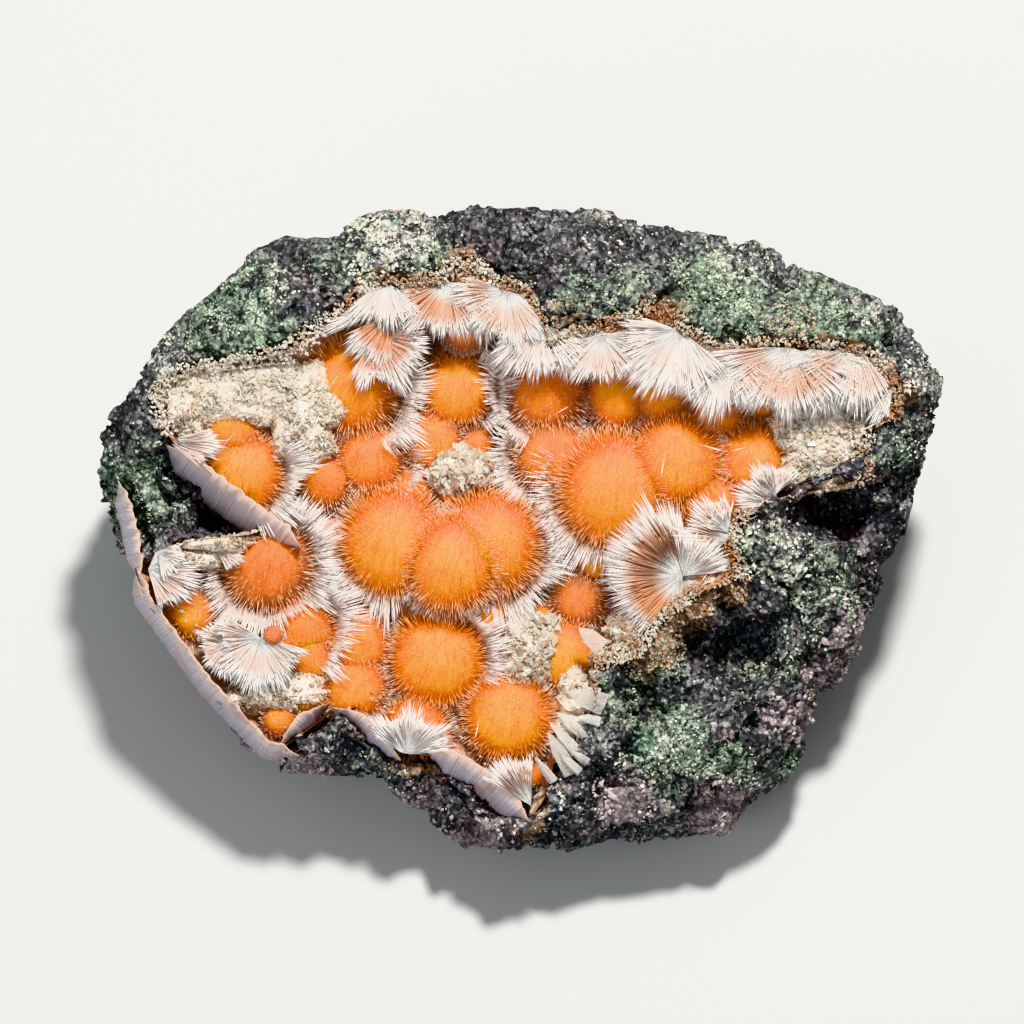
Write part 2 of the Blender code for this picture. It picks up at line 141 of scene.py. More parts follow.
# Pits: across, up, radius, depth.
PITS = [
    (0.2, 27.8, 2.2, 2.2), (-8.0, 28.6, 1.0, 0.8), (16.0, 27.6, 1.3, 1.0), (30.4, 2.0, 3.2, 3.6),
    (33.8, 0.6, 2.4, 3.0), (27.6, 1.4, 1.8, 2.4), (22.6, -12.6, 3.8, 3.0), (17.6, -11.8, 2.8, 2.0),
    (26.0, -9.6, 2.0, 1.4), (29.0, -13.6, 1.6, 1.0), (17.8, -17.4, 1.8, 1.2), (23.0, -18.6, 2.0, 1.4),
    (10.6, -22.0, 1.4, 1.0), (35.4, 4.6, 1.4, 1.0), (38.4, 11.8, 1.2, 0.9), (-22.6, 25.6, 1.4, 0.9),
    (-32.0, 17.4, 1.2, 0.8), (-38.4, -1.0, 1.6, 1.2), (-34.8, 5.4, 3.2, 4.8), (-31.8, 2.0, 3.0, 5.2),
    (-28.4, 0.4, 2.4, 5.0), (-8.2, -25.8, 2.6, 2.6), (-4.2, -28.4, 2.6, 2.6), (-16.8, -21.4, 1.8, 1.8),
    (26.0, 24.6, 1.2, 0.8), (12.0, 27.8, 0.9, 0.7), (36.6, 19.4, 1.0, 0.7), (20.6, -7.8, 1.3, 1.0),
]
# Celadonite: across, up, radius, how much of the ground it covers.
CELADONITE = [
    (-38.5, 4.5, 4.5, 0.9), (-30.0, 20.0, 5.0, 0.8), (-28.0, 23.5, 4.0, 0.8), (-25.5, 19.8, 3.5, 0.6),
    (-9.5, 26.5, 2.6, 0.7), (5.8, 21.8, 3.2, 0.75), (10.6, 24.6, 2.6, 0.7), (18.5, 24.0, 4.2, 0.95),
    (22.0, 22.0, 4.5, 0.9), (29.5, 21.0, 4.5, 0.9), (34.0, 20.4, 3.4, 0.8), (22.6, -2.0, 2.2, 0.7),
    (30.0, -5.0, 4.0, 0.6), (13.6, -13.0, 2.6, 0.8), (14.5, -21.8, 4.4, 1.0), (20.6, -24.2, 2.6, 0.9),
    (26.5, -23.0, 2.4, 0.7), (25.0, -13.0, 4.0, 0.4), (32.5, -10.0, 3.0, 0.5), (38.0, 8.0, 3.0, 0.5),
    (-14.5, -25.0, 3.0, 0.4), (9.0, -17.0, 3.0, 0.6), (40.0, 14.5, 3.0, 0.3), (-19.0, 27.5, 3.5, 0.5),
]
# Cream crystal crumbs, as celadonite.
CREAM = [
    (-13.9, 29.4, 4.8, 0.62), (25.5, -2.5, 3.4, 0.55), (11.0, -26.0, 3.0, 0.3), (21.5, 27.4, 3.4, 0.5),
    (34.6, 22.4, 2.4, 0.6), (40.0, 16.0, 2.6, 0.5), (-37.6, 18.0, 2.4, 0.6), (8.4, 30.4, 2.6, 0.4),
    (15.4, -22.6, 3.0, 0.4), (30.0, -7.0, 2.6, 0.35), (-25.0, 23.6, 2.6, 0.35), (2.0, -27.6, 2.0, 0.4),
]
# Mauve-grey crystal crust on the flanks, where it runs over the rock's edge, as celadonite.
MAUVE = [
    (-41.5, -5.0, 4.0, 1.0), (-39.5, -10.0, 4.5, 1.1), (-36.5, -15.5, 4.5, 1.1), (-32.0, -20.5, 4.5, 1.1),
    (-27.5, -24.5, 4.0, 1.0), (-22.0, -24.5, 3.0, 0.8), (-12.0, -29.0, 3.5, 0.9), (-5.0, -32.0, 3.5, 0.8),
    (33.0, -10.5, 3.0, 0.9), (30.5, -15.0, 2.5, 0.8), (27.0, -19.0, 3.0, 0.8), (20.0, -28.0, 4.0, 0.9),
    (10.0, -27.0, 3.2, 0.8), (-2.0, -27.5, 3.0, 0.6),
]
# Rusty rind by the hollow, as celadonite.
RIND = [
    (4.5, 20.5, 2.5, 0.6), (12.5, -11.5, 3.2, 0.8), (16.5, -6.9, 3.2, 0.9), (20.0, -4.9, 2.6, 1.0),
    (13.4, 21.4, 2.6, 0.8), (-6.0, 26.6, 2.0, 0.7), (37.6, 13.0, 2.0, 0.7), (26.0, 19.8, 3.0, 0.5),
]


def reach_towards(outline, angles):
    """How far an outline lies from the middle of the face, in each direction."""
    corners = sorted((math.atan2(up, across), math.hypot(across, up)) for across, up in outline)
    return np.interp(angles, [a for a, _ in corners], [r for _, r in corners], period=math.tau)


def hollow_share(points):
    """0 in the middle of the hollow and 1 at its rim."""
    angles = np.arctan2(points[:, 1], points[:, 0])
    return np.hypot(points[:, 0], points[:, 1]) / reach_towards(HOLLOW_OUTLINE, angles)


def to_face(points):
    """Metres in the world to face millimetres."""
    return (np.asarray(points, float) / MM - np.array(FACE_MIDDLE)) @ FACE_AXES.T


def spots_at(points, spots):
    """How much of the ground the spots cover at each point, from 0 to 1."""
    cover = np.zeros(len(points))
    for across, up, radius, amount in spots:
        far = np.hypot(points[:, 0] - across, points[:, 1] - up) / radius
        cover = np.maximum(cover, amount * np.clip(1.6 - 1.1 * far, 0, 1))
    return cover


def grain_at(points, size, seed):
    """Rounded lumps of about that size, from -1 to 1."""
    shift = Vector((seed, 1.7 * seed, -seed))
    return np.array([noise.noise(Vector(p) / size + shift) for p in points])


# Where the three parts of a wandering vector are read in the noise.
WANDER_SHIFTS = (Vector((9.3, -1.5, -7.9)), Vector((19.1, 31.4, -5.2)), Vector((-12.7, 3.8, 17.6)))


def wander(point):
    """A vector that changes smoothly from point to point, and is the same on every run."""
    return Vector([noise.noise(Vector(point) + shift) for shift in WANDER_SHIFTS])


def facets_at(points, size, tilt, seed):
    """Hackly fracture: the ground is broken into cells, each one a flat facet with a tilt of its own."""
    shift = Vector((seed, -seed, 2 * seed))
    heights = []
    for point in points:
        place = Vector(point) / size + shift
        cell = noise.voronoi(place)[1][0]
        heights.append(tilt * size * (place - cell).dot(wander(3.1 * cell)) * 2)
    return np.array(heights)


def pits_at(points):
    """How deep the pits are at each point of the face."""
    depth = np.zeros(len(points))
    for across, up, radius, deep in PITS:
        far = np.hypot(points[:, 0] - across, points[:, 1] - up) / radius
        depth = np.maximum(depth, deep * np.clip(1.25 - far * far, 0, 1) ** 0.7)
    return depth * (points[:, 2] > ROCK_FLANKS)


def keep_paint(mesh, name, values):
    """Stores a number for each vertex, for the material to read."""
    mesh.attributes.new(name, "FLOAT", "POINT").data.foreach_set("value", np.asarray(values, np.float32))


def add_piece(name, mesh, material, node):
    """A finished piece that stands for a CAD node and rides on the specimen."""
    obj = bpy.data.objects.new(name, mesh)
    bpy.context.scene.collection.objects.link(obj)
    mesh.materials.clear()
    mesh.materials.append(material)
    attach(obj, "root")
    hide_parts(node)
    return obj


class Finish:
    """A material made of nodes. Each call adds one node and links what it is given."""

    def __init__(self, name, **values):
        self.material = bpy.data.materials.new(name)
        self.material.use_nodes = True
        self.tree = self.material.node_tree
        self.shader = self.tree.nodes["Principled BSDF"]
        for socket, value in values.items():
            self.set(self.shader.inputs[socket.replace("_", " ").title().replace("Ior", "IOR")], value)

    def set(self, socket, value):
        if isinstance(value, bpy.types.NodeSocket):
            self.tree.links.new(value, socket)
        elif isinstance(value, tuple) and len(value) == 3 and socket.type == "RGBA":
            socket.default_value = (*value, 1.0)
        else:
            socket.default_value = value

    def add(self, kind, inputs=None, **settings):
        node = self.tree.nodes.new(kind)
        for key, value in settings.items():
            setattr(node, key, value)
        for key, value in (inputs or {}).items():
            self.set(node.inputs[key], value)
        return node

    def place(self):
        return self.add("ShaderNodeTexCoord").outputs["Object"]

    def paint(self, name):
        return self.add("ShaderNodeAttribute", attribute_name=name).outputs["Fac"]

    def copy_map(self):
        """The map of joined copies: each copy's tint as X, and the shade along it as Y."""
        found = self.add("ShaderNodeUVMap", uv_map="OFBake").outputs[0]
        return self.add("ShaderNodeSeparateXYZ", {"Vector": found}).outputs

    def fibre_lines(self, size, detail):
        """Fine lines that follow the number stored as streak."""
        inputs = {"W": self.paint("streak"), "Scale": size, "Detail": detail}
        return self.add("ShaderNodeTexNoise", inputs, noise_dimensions="1D").outputs["Fac"]

    def noise(self, size, detail=3.0, roughness=0.6, seed=0.0, tall=1.0):
        """Noise whose grains are about size metres across, and tall times as high."""
        moved = {"Vector": self.place(), "Location": (seed, seed, -seed), "Scale": (1, 1, 1 / tall)}
        place = self.add("ShaderNodeMapping", moved)
        inputs = {"Vector": place.outputs[0], "Scale": 1 / size, "Detail": detail, "Roughness": roughness}
        return self.add("ShaderNodeTexNoise", inputs).outputs["Fac"]

    def cells(self, size, output="Distance"):
        inputs = {"Vector": self.place(), "Scale": 1 / size}
        return self.add("ShaderNodeTexVoronoi", inputs).outputs[output]

    def ramp(self, factor, stops):
        """A colour ramp through (position, colour) stops."""
        node = self.add("ShaderNodeValToRGB", {"Fac": factor})
        ramp = node.color_ramp
        while len(ramp.elements) < len(stops):
            ramp.elements.new(0.5)
        for element, (position, colour) in zip(ramp.elements, stops):
            element.position = position
            element.color = (*colour, 1.0)
        return node.outputs["Color"]

    def math(self, operation, a, b):
        node = self.add("ShaderNodeMath", operation=operation)
        self.set(node.inputs[0], a)
        self.set(node.inputs[1], b)
        return node.outputs[0]

    def span(self, value, low, high, to_low=0.0, to_high=1.0):
        """The value with low and high moved to two others, and held between them."""
        inputs = {"Value": value, "From Min": low, "From Max": high, "To Min": to_low, "To Max": to_high}
        return self.add("ShaderNodeMapRange", inputs).outputs[0]

    def mix(self, factor, a, b, blend="MIX"):
        node = self.add("ShaderNodeMix", data_type="RGBA", blend_type=blend)
        self.set(node.inputs["Factor"], factor)
        self.set(node.inputs[6], a)
        self.set(node.inputs[7], b)
        return node.outputs[2]

    def colour(self, socket):
        self.set(self.shader.inputs["Base Color"], socket)

    def bump(self, height, distance):
        inputs = {"Height": height, "Distance": distance}
        self.set(self.shader.inputs["Normal"], self.add("ShaderNodeBump", inputs).outputs[0])


def basalt_finish():
    """Dark stone, with each paint laid on in ragged patches, a light speck here and there, and painted shade
    in the cracks between its grains.
    """
    rock = Finish("basalt", roughness=0.75)
    grain = rock.cells(0.00042, "Color")
    # Painted shade: the colour is darkened in the cracks between the grains, and the same pattern also sets
    # their bump.
    gap_shade_and_relief = rock.span(rock.cells(0.0005), 0.25, 0.65, 1.0, 0.45)
    speckle = rock.span(grain, 0.2, 0.8, -0.2, 0.2)
    tone = rock.math("ADD", rock.noise(0.004, 5.0, 0.7), speckle)
    stone = rock.ramp(tone, [
        (0.26, (0.012, 0.012, 0.015)), (0.46, (0.045, 0.047, 0.054)),
        (0.62, (0.14, 0.145, 0.155)), (0.80, (0.42, 0.42, 0.40)),
    ])
    dusky = rock.span(rock.noise(0.006, 3.0, 0.6, 21.0), 0.5, 0.62)
    stone = rock.mix(dusky, stone, rock.mix(1.0, stone, (1.0, 0.80, 0.82), "MULTIPLY"))
    crumbs = rock.math("ADD", rock.noise(0.0012, 4.0, 0.75, 3.0), rock.math("MULTIPLY", speckle, 0.6))
    celadonite = rock.ramp(crumbs, [
        (0.34, (0.03, 0.042, 0.034)), (0.45, (0.14, 0.19, 0.13)),
        (0.57, (0.30, 0.38, 0.27)), (0.74, (0.60, 0.67, 0.52)),
    ])
    teal = rock.span(rock.noise(0.007, 2.0, 0.5, 31.0), 0.45, 0.6)
    celadonite = rock.mix(teal, celadonite, rock.mix(1.0, celadonite, (0.84, 1.0, 1.02), "MULTIPLY"))
    cream = rock.ramp(rock.noise(0.0016, 4.0, 0.7, 7.0), [
        (0.38, (0.16, 0.30, 0.25)), (0.48, (0.62, 0.60, 0.48)), (0.62, (0.95, 0.92, 0.80)),
    ])
    rind = rock.ramp(rock.noise(0.001, 3.0, 0.6, 11.0), [
        (0.35, (0.12, 0.06, 0.03)), (0.52, (0.36, 0.22, 0.13)), (0.7, (0.62, 0.52, 0.38)),
    ])
    mauve = rock.ramp(rock.noise(0.0007, 4.0, 0.7, 17.0, 9.0), [
        (0.32, (0.13, 0.09, 0.10)), (0.5, (0.34, 0.27, 0.28)), (0.68, (0.58, 0.50, 0.49)),
    ])
    patchy = rock.span(rock.noise(0.0024, 9.0, 0.9, 5.0), 0.42, 0.58, -0.75, 0.40)
    patchy = rock.math("ADD", patchy, speckle)
    surface = stone
    for paint, colours, raggedness in (
        ("celadonite", celadonite, 1.0), ("cream", cream, 0.8), ("rind", rind, 0.8), ("mauve", mauve, 0.5),
    ):
        cover = rock.math("ADD", rock.paint(paint), rock.math("MULTIPLY", patchy, raggedness))
        surface = rock.mix(rock.span(cover, 0.42, 0.56), surface, colours)
    # Painted shade over all the paints, darkest in the cracks between the grains.
    surface = rock.mix(1.0, surface, gap_shade_and_relief, "MULTIPLY")
    specks = rock.span(rock.cells(0.0008), 0.16, 0.12)
    chance = rock.span(rock.noise(0.003, 3.0, 0.6, 13.0), 0.50, 0.56)
    surface = rock.mix(rock.math("MULTIPLY", specks, chance), surface, (0.72, 0.74, 0.70))
    rock.colour(surface)
    height = rock.math("ADD", rock.noise(0.0005, 4.0, 0.8, 9.0), gap_shade_and_relief)
    rock.bump(height, 0.00022)
    return rock.material


def basalt_mesh():
    """The CAD rock, evened out, its upper face cut fine and broken up."""
    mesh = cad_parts["basalt_matrix"].data.copy()
    bm = bmesh.new()
    bm.from_mesh(mesh)
    bmesh.ops.remove_doubles(bm, verts=bm.verts, dist=1e-6)
    bm.to_mesh(mesh)
    bm.free()
    obj = bpy.data.objects.new("rock_blank", mesh)
    bpy.context.scene.collection.objects.link(obj)
    remesh = obj.modifiers.new("even", "REMESH")
    remesh.mode = "VOXEL"
    remesh.voxel_size = ROCK_VOXEL * MM
    graph = bpy.context.evaluated_depsgraph_get()
    bm = bmesh.new()
    bm.from_object(obj, graph)
    bpy.data.objects.remove(obj)
    for _ in range(2):
        bmesh.ops.smooth_vert(
            bm, verts=bm.verts, factor=0.5, use_axis_x=True, use_axis_y=True, use_axis_z=True
        )
    middles = to_face([face.calc_center_median() for face in bm.faces])
    outward = np.array([face.normal for face in bm.faces]) @ FACE_AXES.T
    shown = (hollow_share(middles) > 0.98) & (outward[:, 2] > -0.1) & (middles[:, 2] > ROCK_FLANKS)
    bm.edges.index_update()
    edges = {edge for face, wanted in zip(bm.faces, shown) if wanted for edge in face.edges}
    edges = sorted(edges, key=lambda edge: edge.index)
    bmesh.ops.subdivide_edges(bm, edges=edges, cuts=ROCK_FINE_CUTS, use_grid_fill=True)
    bmesh.ops.triangulate(bm, faces=bm.faces)
    bm.normal_update()
    places = np.array([vertex.co for vertex in bm.verts])
    normals = np.array([vertex.normal for vertex in bm.verts])
    face_places = to_face(places)
    mm_places = places / MM
    green = spots_at(face_places, CELADONITE)
    height = facets_at(mm_places, *COARSE_FACETS) + facets_at(mm_places, *MIDDLE_FACETS)
    height += facets_at(mm_places, *FINE_FACETS) + 0.22 * grain_at(mm_places, 0.5, 6.0) + ROCK_GROWTH
    height += green * 0.25 * np.abs(grain_at(mm_places, 0.6, 12.0)) - pits_at(face_places)
    clear_of_crust = np.clip((hollow_share(face_places) - 1.0) / 0.04, 0, 1)
    clear_of_crust[face_places[:, 2] < ROCK_FLANKS] = 1.0
    height = np.where(height > 0, np.minimum(height, TALLEST_LUMP) * clear_of_crust, height)
    height *= np.clip(places[:, 2] / (BASE_BAND * MM), 0, 1)
    moved = places + normals * (height * MM)[:, None]
    moved[:, 2] = np.maximum(moved[:, 2], 0)
    for vertex, place in zip(bm.verts, moved):
        vertex.co = place
    made = bpy.data.meshes.new("basalt")
    bm.to_mesh(made)
    bm.free()
    keep_paint(made, "celadonite", green)
    keep_paint(made, "cream", spots_at(face_places, CREAM))
    rim = np.clip(1.3 - np.abs(hollow_share(face_places) - 1.01) / 0.035, 0, 1)
    rim *= np.clip(0.45 + 1.3 * grain_at(mm_places, 2.6, 14.0), 0, 1) * (face_places[:, 0] > -17)
    keep_paint(made, "rind", np.maximum(spots_at(face_places, RIND), rim))
    keep_paint(made, "mauve", spots_at(face_places, MAUVE))
    made.shade_smooth()
    return made


basalt = add_piece("basalt", basalt_mesh(), basalt_finish(), "basalt_matrix")

# The lining: a thin skin of brownish zeolite that grew straight on the basalt. The balls stand on it,
# and it shows in the gaps that they leave.
# Where the rock ends at the lower left, and the crust runs out over its edge: across, up.
ROCK_EDGE = [
    (42.0, 10.0), (0.0, 33.0), (-42.0, 8.0), (-41.6, 3.0), (-40.4, 0.0), (-39.9, -2.2), (-38.9, -7.0),
    (-35.9, -11.0), (-32.4, -16.0), (-26.2, -22.5), (-23.4, -23.5), (-17.9, -24.5), (-12.4, -26.5),
    (-8.9, -29.0), (-5.4, -31.8), (0.6, -31.5), (7.6, -31.5), (27.6, -21.0), (34.9, -7.0),
]
LINING_RIM = -1.0  # its level at the rim, and in the middle
LINING_MIDDLE = -7.6
LINING_MARGIN = (0.5, 1.0)  # how far it stops short of the rim, and of the rock's edge at the lower left
LINING_DEPTH = 1.6  # how far it reaches down behind its own surface
LINING_SAG = 1.0  # how much lower it lies under the broken faces at the lower left
NOTCH_WAY = 179  # the direction in which the broken notch lies, in degrees, and how much lower it is there
NOTCH_DEPTH = 5.0


def crust_reach(angles):
    """How far the crust goes in each direction, to the hollow's rim or the rock's edge."""
    return np.minimum(reach_towards(HOLLOW_OUTLINE, angles), reach_towards(ROCK_EDGE, angles))


def crust_share(points):
    """0 in the middle of the hollow and 1 where the crust ends."""
    return np.hypot(points[:, 0], points[:, 1]) / crust_reach(np.arctan2(points[:, 1], points[:, 0]))


def lay_on_face(bm, places):
    """Moves the vertices to places given in face millimetres."""
    for vertex, place in zip(bm.verts, on_face(places)):
        vertex.co = place


def thicken(bm, depth):
    """Gives an open sheet a back that lies that many millimetres further in."""
    made = bmesh.ops.extrude_face_region(bm, geom=bm.faces[:], use_keep_orig=True)["geom"]
    deeper = [item for item in made if isinstance(item, bmesh.types.BMVert)]
    bmesh.ops.translate(bm, vec=OUT_OF_FACE * -depth * MM, verts=deeper)
    bmesh.ops.recalc_face_normals(bm, faces=bm.faces)


def finished_mesh(bm, name):
    mesh = bpy.data.meshes.new(name)
    bm.to_mesh(mesh)
    bm.free()
    return mesh


def lining_level(share):
    """The lining's level at that share of the crust: a bowl with a flat floor and steep sides."""
    return LINING_RIM + (LINING_MIDDLE - LINING_RIM) * (1 - np.minimum(1, share) ** 12)


def lining_mesh():
    bm = bmesh.new()
    spoke = [bm.verts.new((share, 0, 0)) for share in np.linspace(0, 1, 60)]
    edges = [bm.edges.new(pair) for pair in zip(spoke, spoke[1:])]
    whole = dict(cent=(0, 0, 0), axis=(0, 0, 1), angle=math.tau, steps=300, use_merge=True)
    bmesh.ops.spin(bm, geom=spoke + edges, **whole)
    bmesh.ops.remove_doubles(bm, verts=bm.verts, dist=1e-5)
    flat = np.array([vertex.co for vertex in bm.verts])
    share = np.hypot(flat[:, 0], flat[:, 1])
    angles = np.arctan2(flat[:, 1], flat[:, 0])
    under_faces = np.clip((-np.sin(angles) - 0.1) / 0.2, 0, 1) * (np.cos(angles) < 0.15)
    margin = LINING_MARGIN[0] + (LINING_MARGIN[1] - LINING_MARGIN[0]) * under_faces
    reach = crust_reach(angles) - margin
    level = lining_level(share)
    places = np.stack([np.cos(angles) * share * reach, np.sin(angles) * share * reach, level], 1)
    notch = np.clip(1.5 - np.abs(np.degrees(angles) % 360 - NOTCH_WAY) / 6, 0, 1)
    places[:, 2] -= NOTCH_DEPTH * notch * share ** 4 + LINING_SAG * under_faces * share ** 8
    places[:, 2] += 0.5 * grain_at(places, 1.4, 3.0) + 0.3 * grain_at(places, 0.6, 8.0)
    lay_on_face(bm, places)
    thicken(bm, LINING_DEPTH)
    return finished_mesh(bm, "lining")


pale = Finish("pale_zeolite", roughness=0.3)
pale.colour(pale.ramp(pale.noise(0.0025, 5.0, 0.75), [
    (0.36, (0.30, 0.10, 0.05)), (0.5, (0.50, 0.28, 0.18)), (0.64, (0.72, 0.56, 0.44)),
]))
pale.bump(pale.cells(0.0007), 0.0003)
add_piece("lining", lining_mesh(), pale.material, "crystal_crust")

# The balls' cores: closely packed thomsonite fibres, which glow orange because they are half clear.
# Each ball grew outwards from one point on the lining, and is a sphere as far as its neighbours let it be.
# Balls: across, up, radius at the needle tips, how far the top stands out, tone from deep (0) to bright (1).
BALLS = [
    (-17.4, 14.5, 7.0, -0.4, 0.6), (-15.6, 7.2, 5.2, -2.0, 0.45), (-20.2, 5.2, 4.3, -2.4, 0.4),
    (-6.9, 14.2, 5.2, -2.2, 0.75), (-9.4, 9.0, 4.3, -2.8, 0.6), (-13.2, -1.5, 7.1, 0.6, 0.95),
    (-7.2, -3.6, 6.3, 1.6, 0.8), (-3.6, -1.8, 7.1, 0.4, 0.8), (2.3, 14.1, 6.4, -1.3, 0.3),
    (2.8, 7.5, 5.3, -1.8, 0.4), (9.1, 3.8, 7.8, 1.0, 0.8), (15.4, 6.8, 6.6, 0.4, 0.75),
    (23.1, 7.0, 5.2, -1.0, 0.65), (18.6, 2.8, 5.2, -1.2, 0.5), (9.6, 13.6, 4.4, -1.6, 0.7),
    (13.8, 14.0, 4.8, -1.4, 0.7), (19.4, 12.0, 4.4, -1.8, 0.5), (5.4, -7.2, 4.2, -3.6, 0.15),
    (-8.7, -13.2, 6.6, -0.6, 0.95), (-1.6, -19.0, 5.9, -0.2, 1.0), (3.9, -12.8, 4.5, -1.8, 0.9),
    (-17.0, -11.5, 4.8, -1.8, 0.6), (-17.2, -16.2, 4.4, -1.2, 0.7), (-10.9, -20.5, 4.6, -0.8, 0.8),
    (-22.4, -10.0, 5.0, -1.2, 0.5), (-25.9, -3.6, 6.9, 0.2, 0.25), (-33.6, -8.6, 3.3, -0.9, 0.7),
    (-29.6, 10.3, 4.2, -0.6, 0.7), (-28.4, 5.6, 5.6, 0.1, 0.8), (-22.0, -16.4, 3.6, -1.4, 0.6),
    (-24.6, -19.0, 2.4, -1.2, 0.5), (-21.6, -13.0, 3.4, -1.6, 0.5), (-11.6, 4.2, 3.6, -3.6, 0.4),
    (-25.1, -10.6, 1.3, 0.7, 0.0), (-11.3, 22.6, 2.4, -0.9, 0.5), (-6.0, 20.2, 3.0, -1.6, 0.3),
]
SMALL_BALLS = 90  # at most about this many low balls fill the gaps between the others
TRIES_A_BALL = 20
LOWEST_CORE = -11  # what lies deeper is hidden, and is cut away
CORE_SHARE = 0.75  # the core's radius over that of the needle tips
ROOT_SHARE = 0.67  # where the needles start, well inside the core

draw = np.random.default_rng(12)


def with_small_balls(balls):
    """The balls and as many low ones as the gaps between them hold."""
    found = list(balls)
    for _ in range(SMALL_BALLS * TRIES_A_BALL):
        across, up = draw.uniform(-38, 36), draw.uniform(-30, 26)
        radius = draw.uniform(1.8, 3.4)
        share = float(crust_share(np.array([(across, up)]))[0])
        near = min(math.hypot(across - ball[0], up - ball[1]) - 0.72 * ball[2] for ball in found)
        in_notch = across < -20 and -3 < up < 3
        if share > 0.88 or in_notch or near < 0.45 * radius or len(found) > len(balls) + SMALL_BALLS:
            continue
        top = float(lining_level(share)) + draw.uniform(0.9, 1.5) * radius
        found.append((across, up, radius, min(top, -1.2), draw.uniform(0.15, 0.7)))
    return found


def inside_crust(points, share):
    """The same points, with those past that share of the crust drawn back to it."""
    points = points.copy()
    points[:, :2] *= np.minimum(1, share / crust_share(points))[:, None]
    return points


def ball_cores_mesh():
    """All the cores without what is buried. Their tone is streaked, and darker down the sides: partly iron
    stain, partly painted shade.
    """
    whole = bmesh.new()
    tone_layer = whole.verts.layers.float.new("tone")
    for number, (across, up, radius, top, tone) in enumerate(balls):
        rounds = 5 if radius > 3.5 else 4
        made = bmesh.ops.create_icosphere(whole, subdivisions=rounds, radius=CORE_SHARE * radius)
        for vertex in made["verts"]:
            facing = vertex.co.z / (CORE_SHARE * radius)
            around = math.atan2(vertex.co.y, vertex.co.x)
            streak = noise.noise(Vector((8 * math.cos(around), 8 * math.sin(around), number + 2 * facing)))
            # The sides turned away from the face get a darker tone: partly iron stain, partly painted shade
            # where they sink into the crust.
            vertex[tone_layer] = tone + 1.3 * (min(facing, 0.95) - 0.84) + 0.5 * streak * (1 - facing)
            rough = noise.noise(vertex.co / 1.3 + Vector((number, 0, 0))) * 0.16
            vertex.co += vertex.co.normalized() * rough + Vector((across, up, top - radius))
    points = inside_crust(np.array([vertex.co for vertex in whole.verts]), 0.95)
    buried = points[:, 2] < LOWEST_CORE
    for across, up, radius, top, _ in balls:
        buried |= np.linalg.norm(points - (across, up, top - radius), axis=1) < CORE_SHARE * radius - 0.4
    lay_on_face(whole, points)
    bmesh.ops.delete(whole, geom=[v for v, gone in zip(whole.verts, buried) if gone], context="VERTS")
    mesh = finished_mesh(whole, "ball_cores")
    mesh.shade_smooth()
    return mesh


core = Finish(
    "thomsonite_core", roughness=0.5, subsurface_weight=0.7, subsurface_scale=0.002,
    subsurface_radius=(1.0, 0.30, 0.06),
)
core_tone = core.math("ADD", core.paint("tone"), core.span(core.noise(0.0022, 4.0), 0.3, 0.7, -0.22, 0.22))
core.colour(core.ramp(core_tone, [
    (0.0, (0.45, 0.16, 0.07)), (0.3, (0.80, 0.23, 0.03)),
    (0.6, (1.0, 0.31, 0.010)), (1.0, (1.0, 0.41, 0.018)),
]))
core.bump(core.noise(0.00025, 3.0, 0.7), 0.00025)
balls = with_small_balls(BALLS)
add_piece("ball_cores", ball_cores_mesh(), core.material, "crystal_crust")

# The balls' needles: hair-fine crystals that stand on end all over a ball, orange at the root and white
# at the tip. Each is three-sided. A dense short coat leans in tufts, and fewer long ones stand through it.
# How many to a square millimetre, how wide, the shortest and longest reach as a share of the ball's radius,
# and the share that is left out on top, where the balls are smoother.
LONGEST_REACH = 1.06
COAT = dict(per_mm2=18, width=0.070, reach=(0.78, 0.91), thin=0.40)
FRINGE = dict(per_mm2=13, width=0.080, reach=(0.86, LONGEST_REACH), thin=0.80)
TUFT_LEAN = 0.13
PIECE_TRIANGLES = 190000  # a piece with more than this is split


def spike():
    """One needle of unit length along Z, a three-sided cone."""
    bm = bmesh.new()
    bmesh.ops.create_cone(bm, cap_ends=False, segments=3, radius1=0.5, radius2=0, depth=1)
    bmesh.ops.remove_doubles(bm, verts=bm.verts, dist=1e-6)
    bmesh.ops.translate(bm, vec=(0, 0, 0.5), verts=bm.verts)
    return bm


def spindle():
    """A stouter needle of unit length along Z: pointed at both ends and thickest near its tip."""
    bm = bmesh.new()
    bmesh.ops.create_cone(bm, cap_ends=False, segments=3, radius1=0, radius2=0.5, depth=0.72)
    bmesh.ops.remove_doubles(bm, verts=bm.verts, dist=1e-6)
    bmesh.ops.translate(bm, vec=(0, 0, 0.36), verts=bm.verts)
    rim = [edge for edge in bm.edges if edge.is_boundary]
    end = bmesh.ops.extrude_edge_only(bm, edges=rim)["geom"]
    tip = [item for item in end if isinstance(item, bmesh.types.BMVert)]
    bmesh.ops.pointmerge(bm, verts=tip, merge_co=(0, 0, 1))
    return bm


def standing(roots, tips, widths):
    """Frames that stretch a unit shape from each root to its tip."""
    along = tips - roots
    side = np.cross(along, draw.normal(size=along.shape))
    side /= np.linalg.norm(side, axis=1, keepdims=True)
    other = np.cross(along, side)
    other /= np.linalg.norm(other, axis=1, keepdims=True)
    widths = np.broadcast_to(widths, len(roots))[:, None]
    return np.stack([side * widths, other * widths, along], axis=2), roots


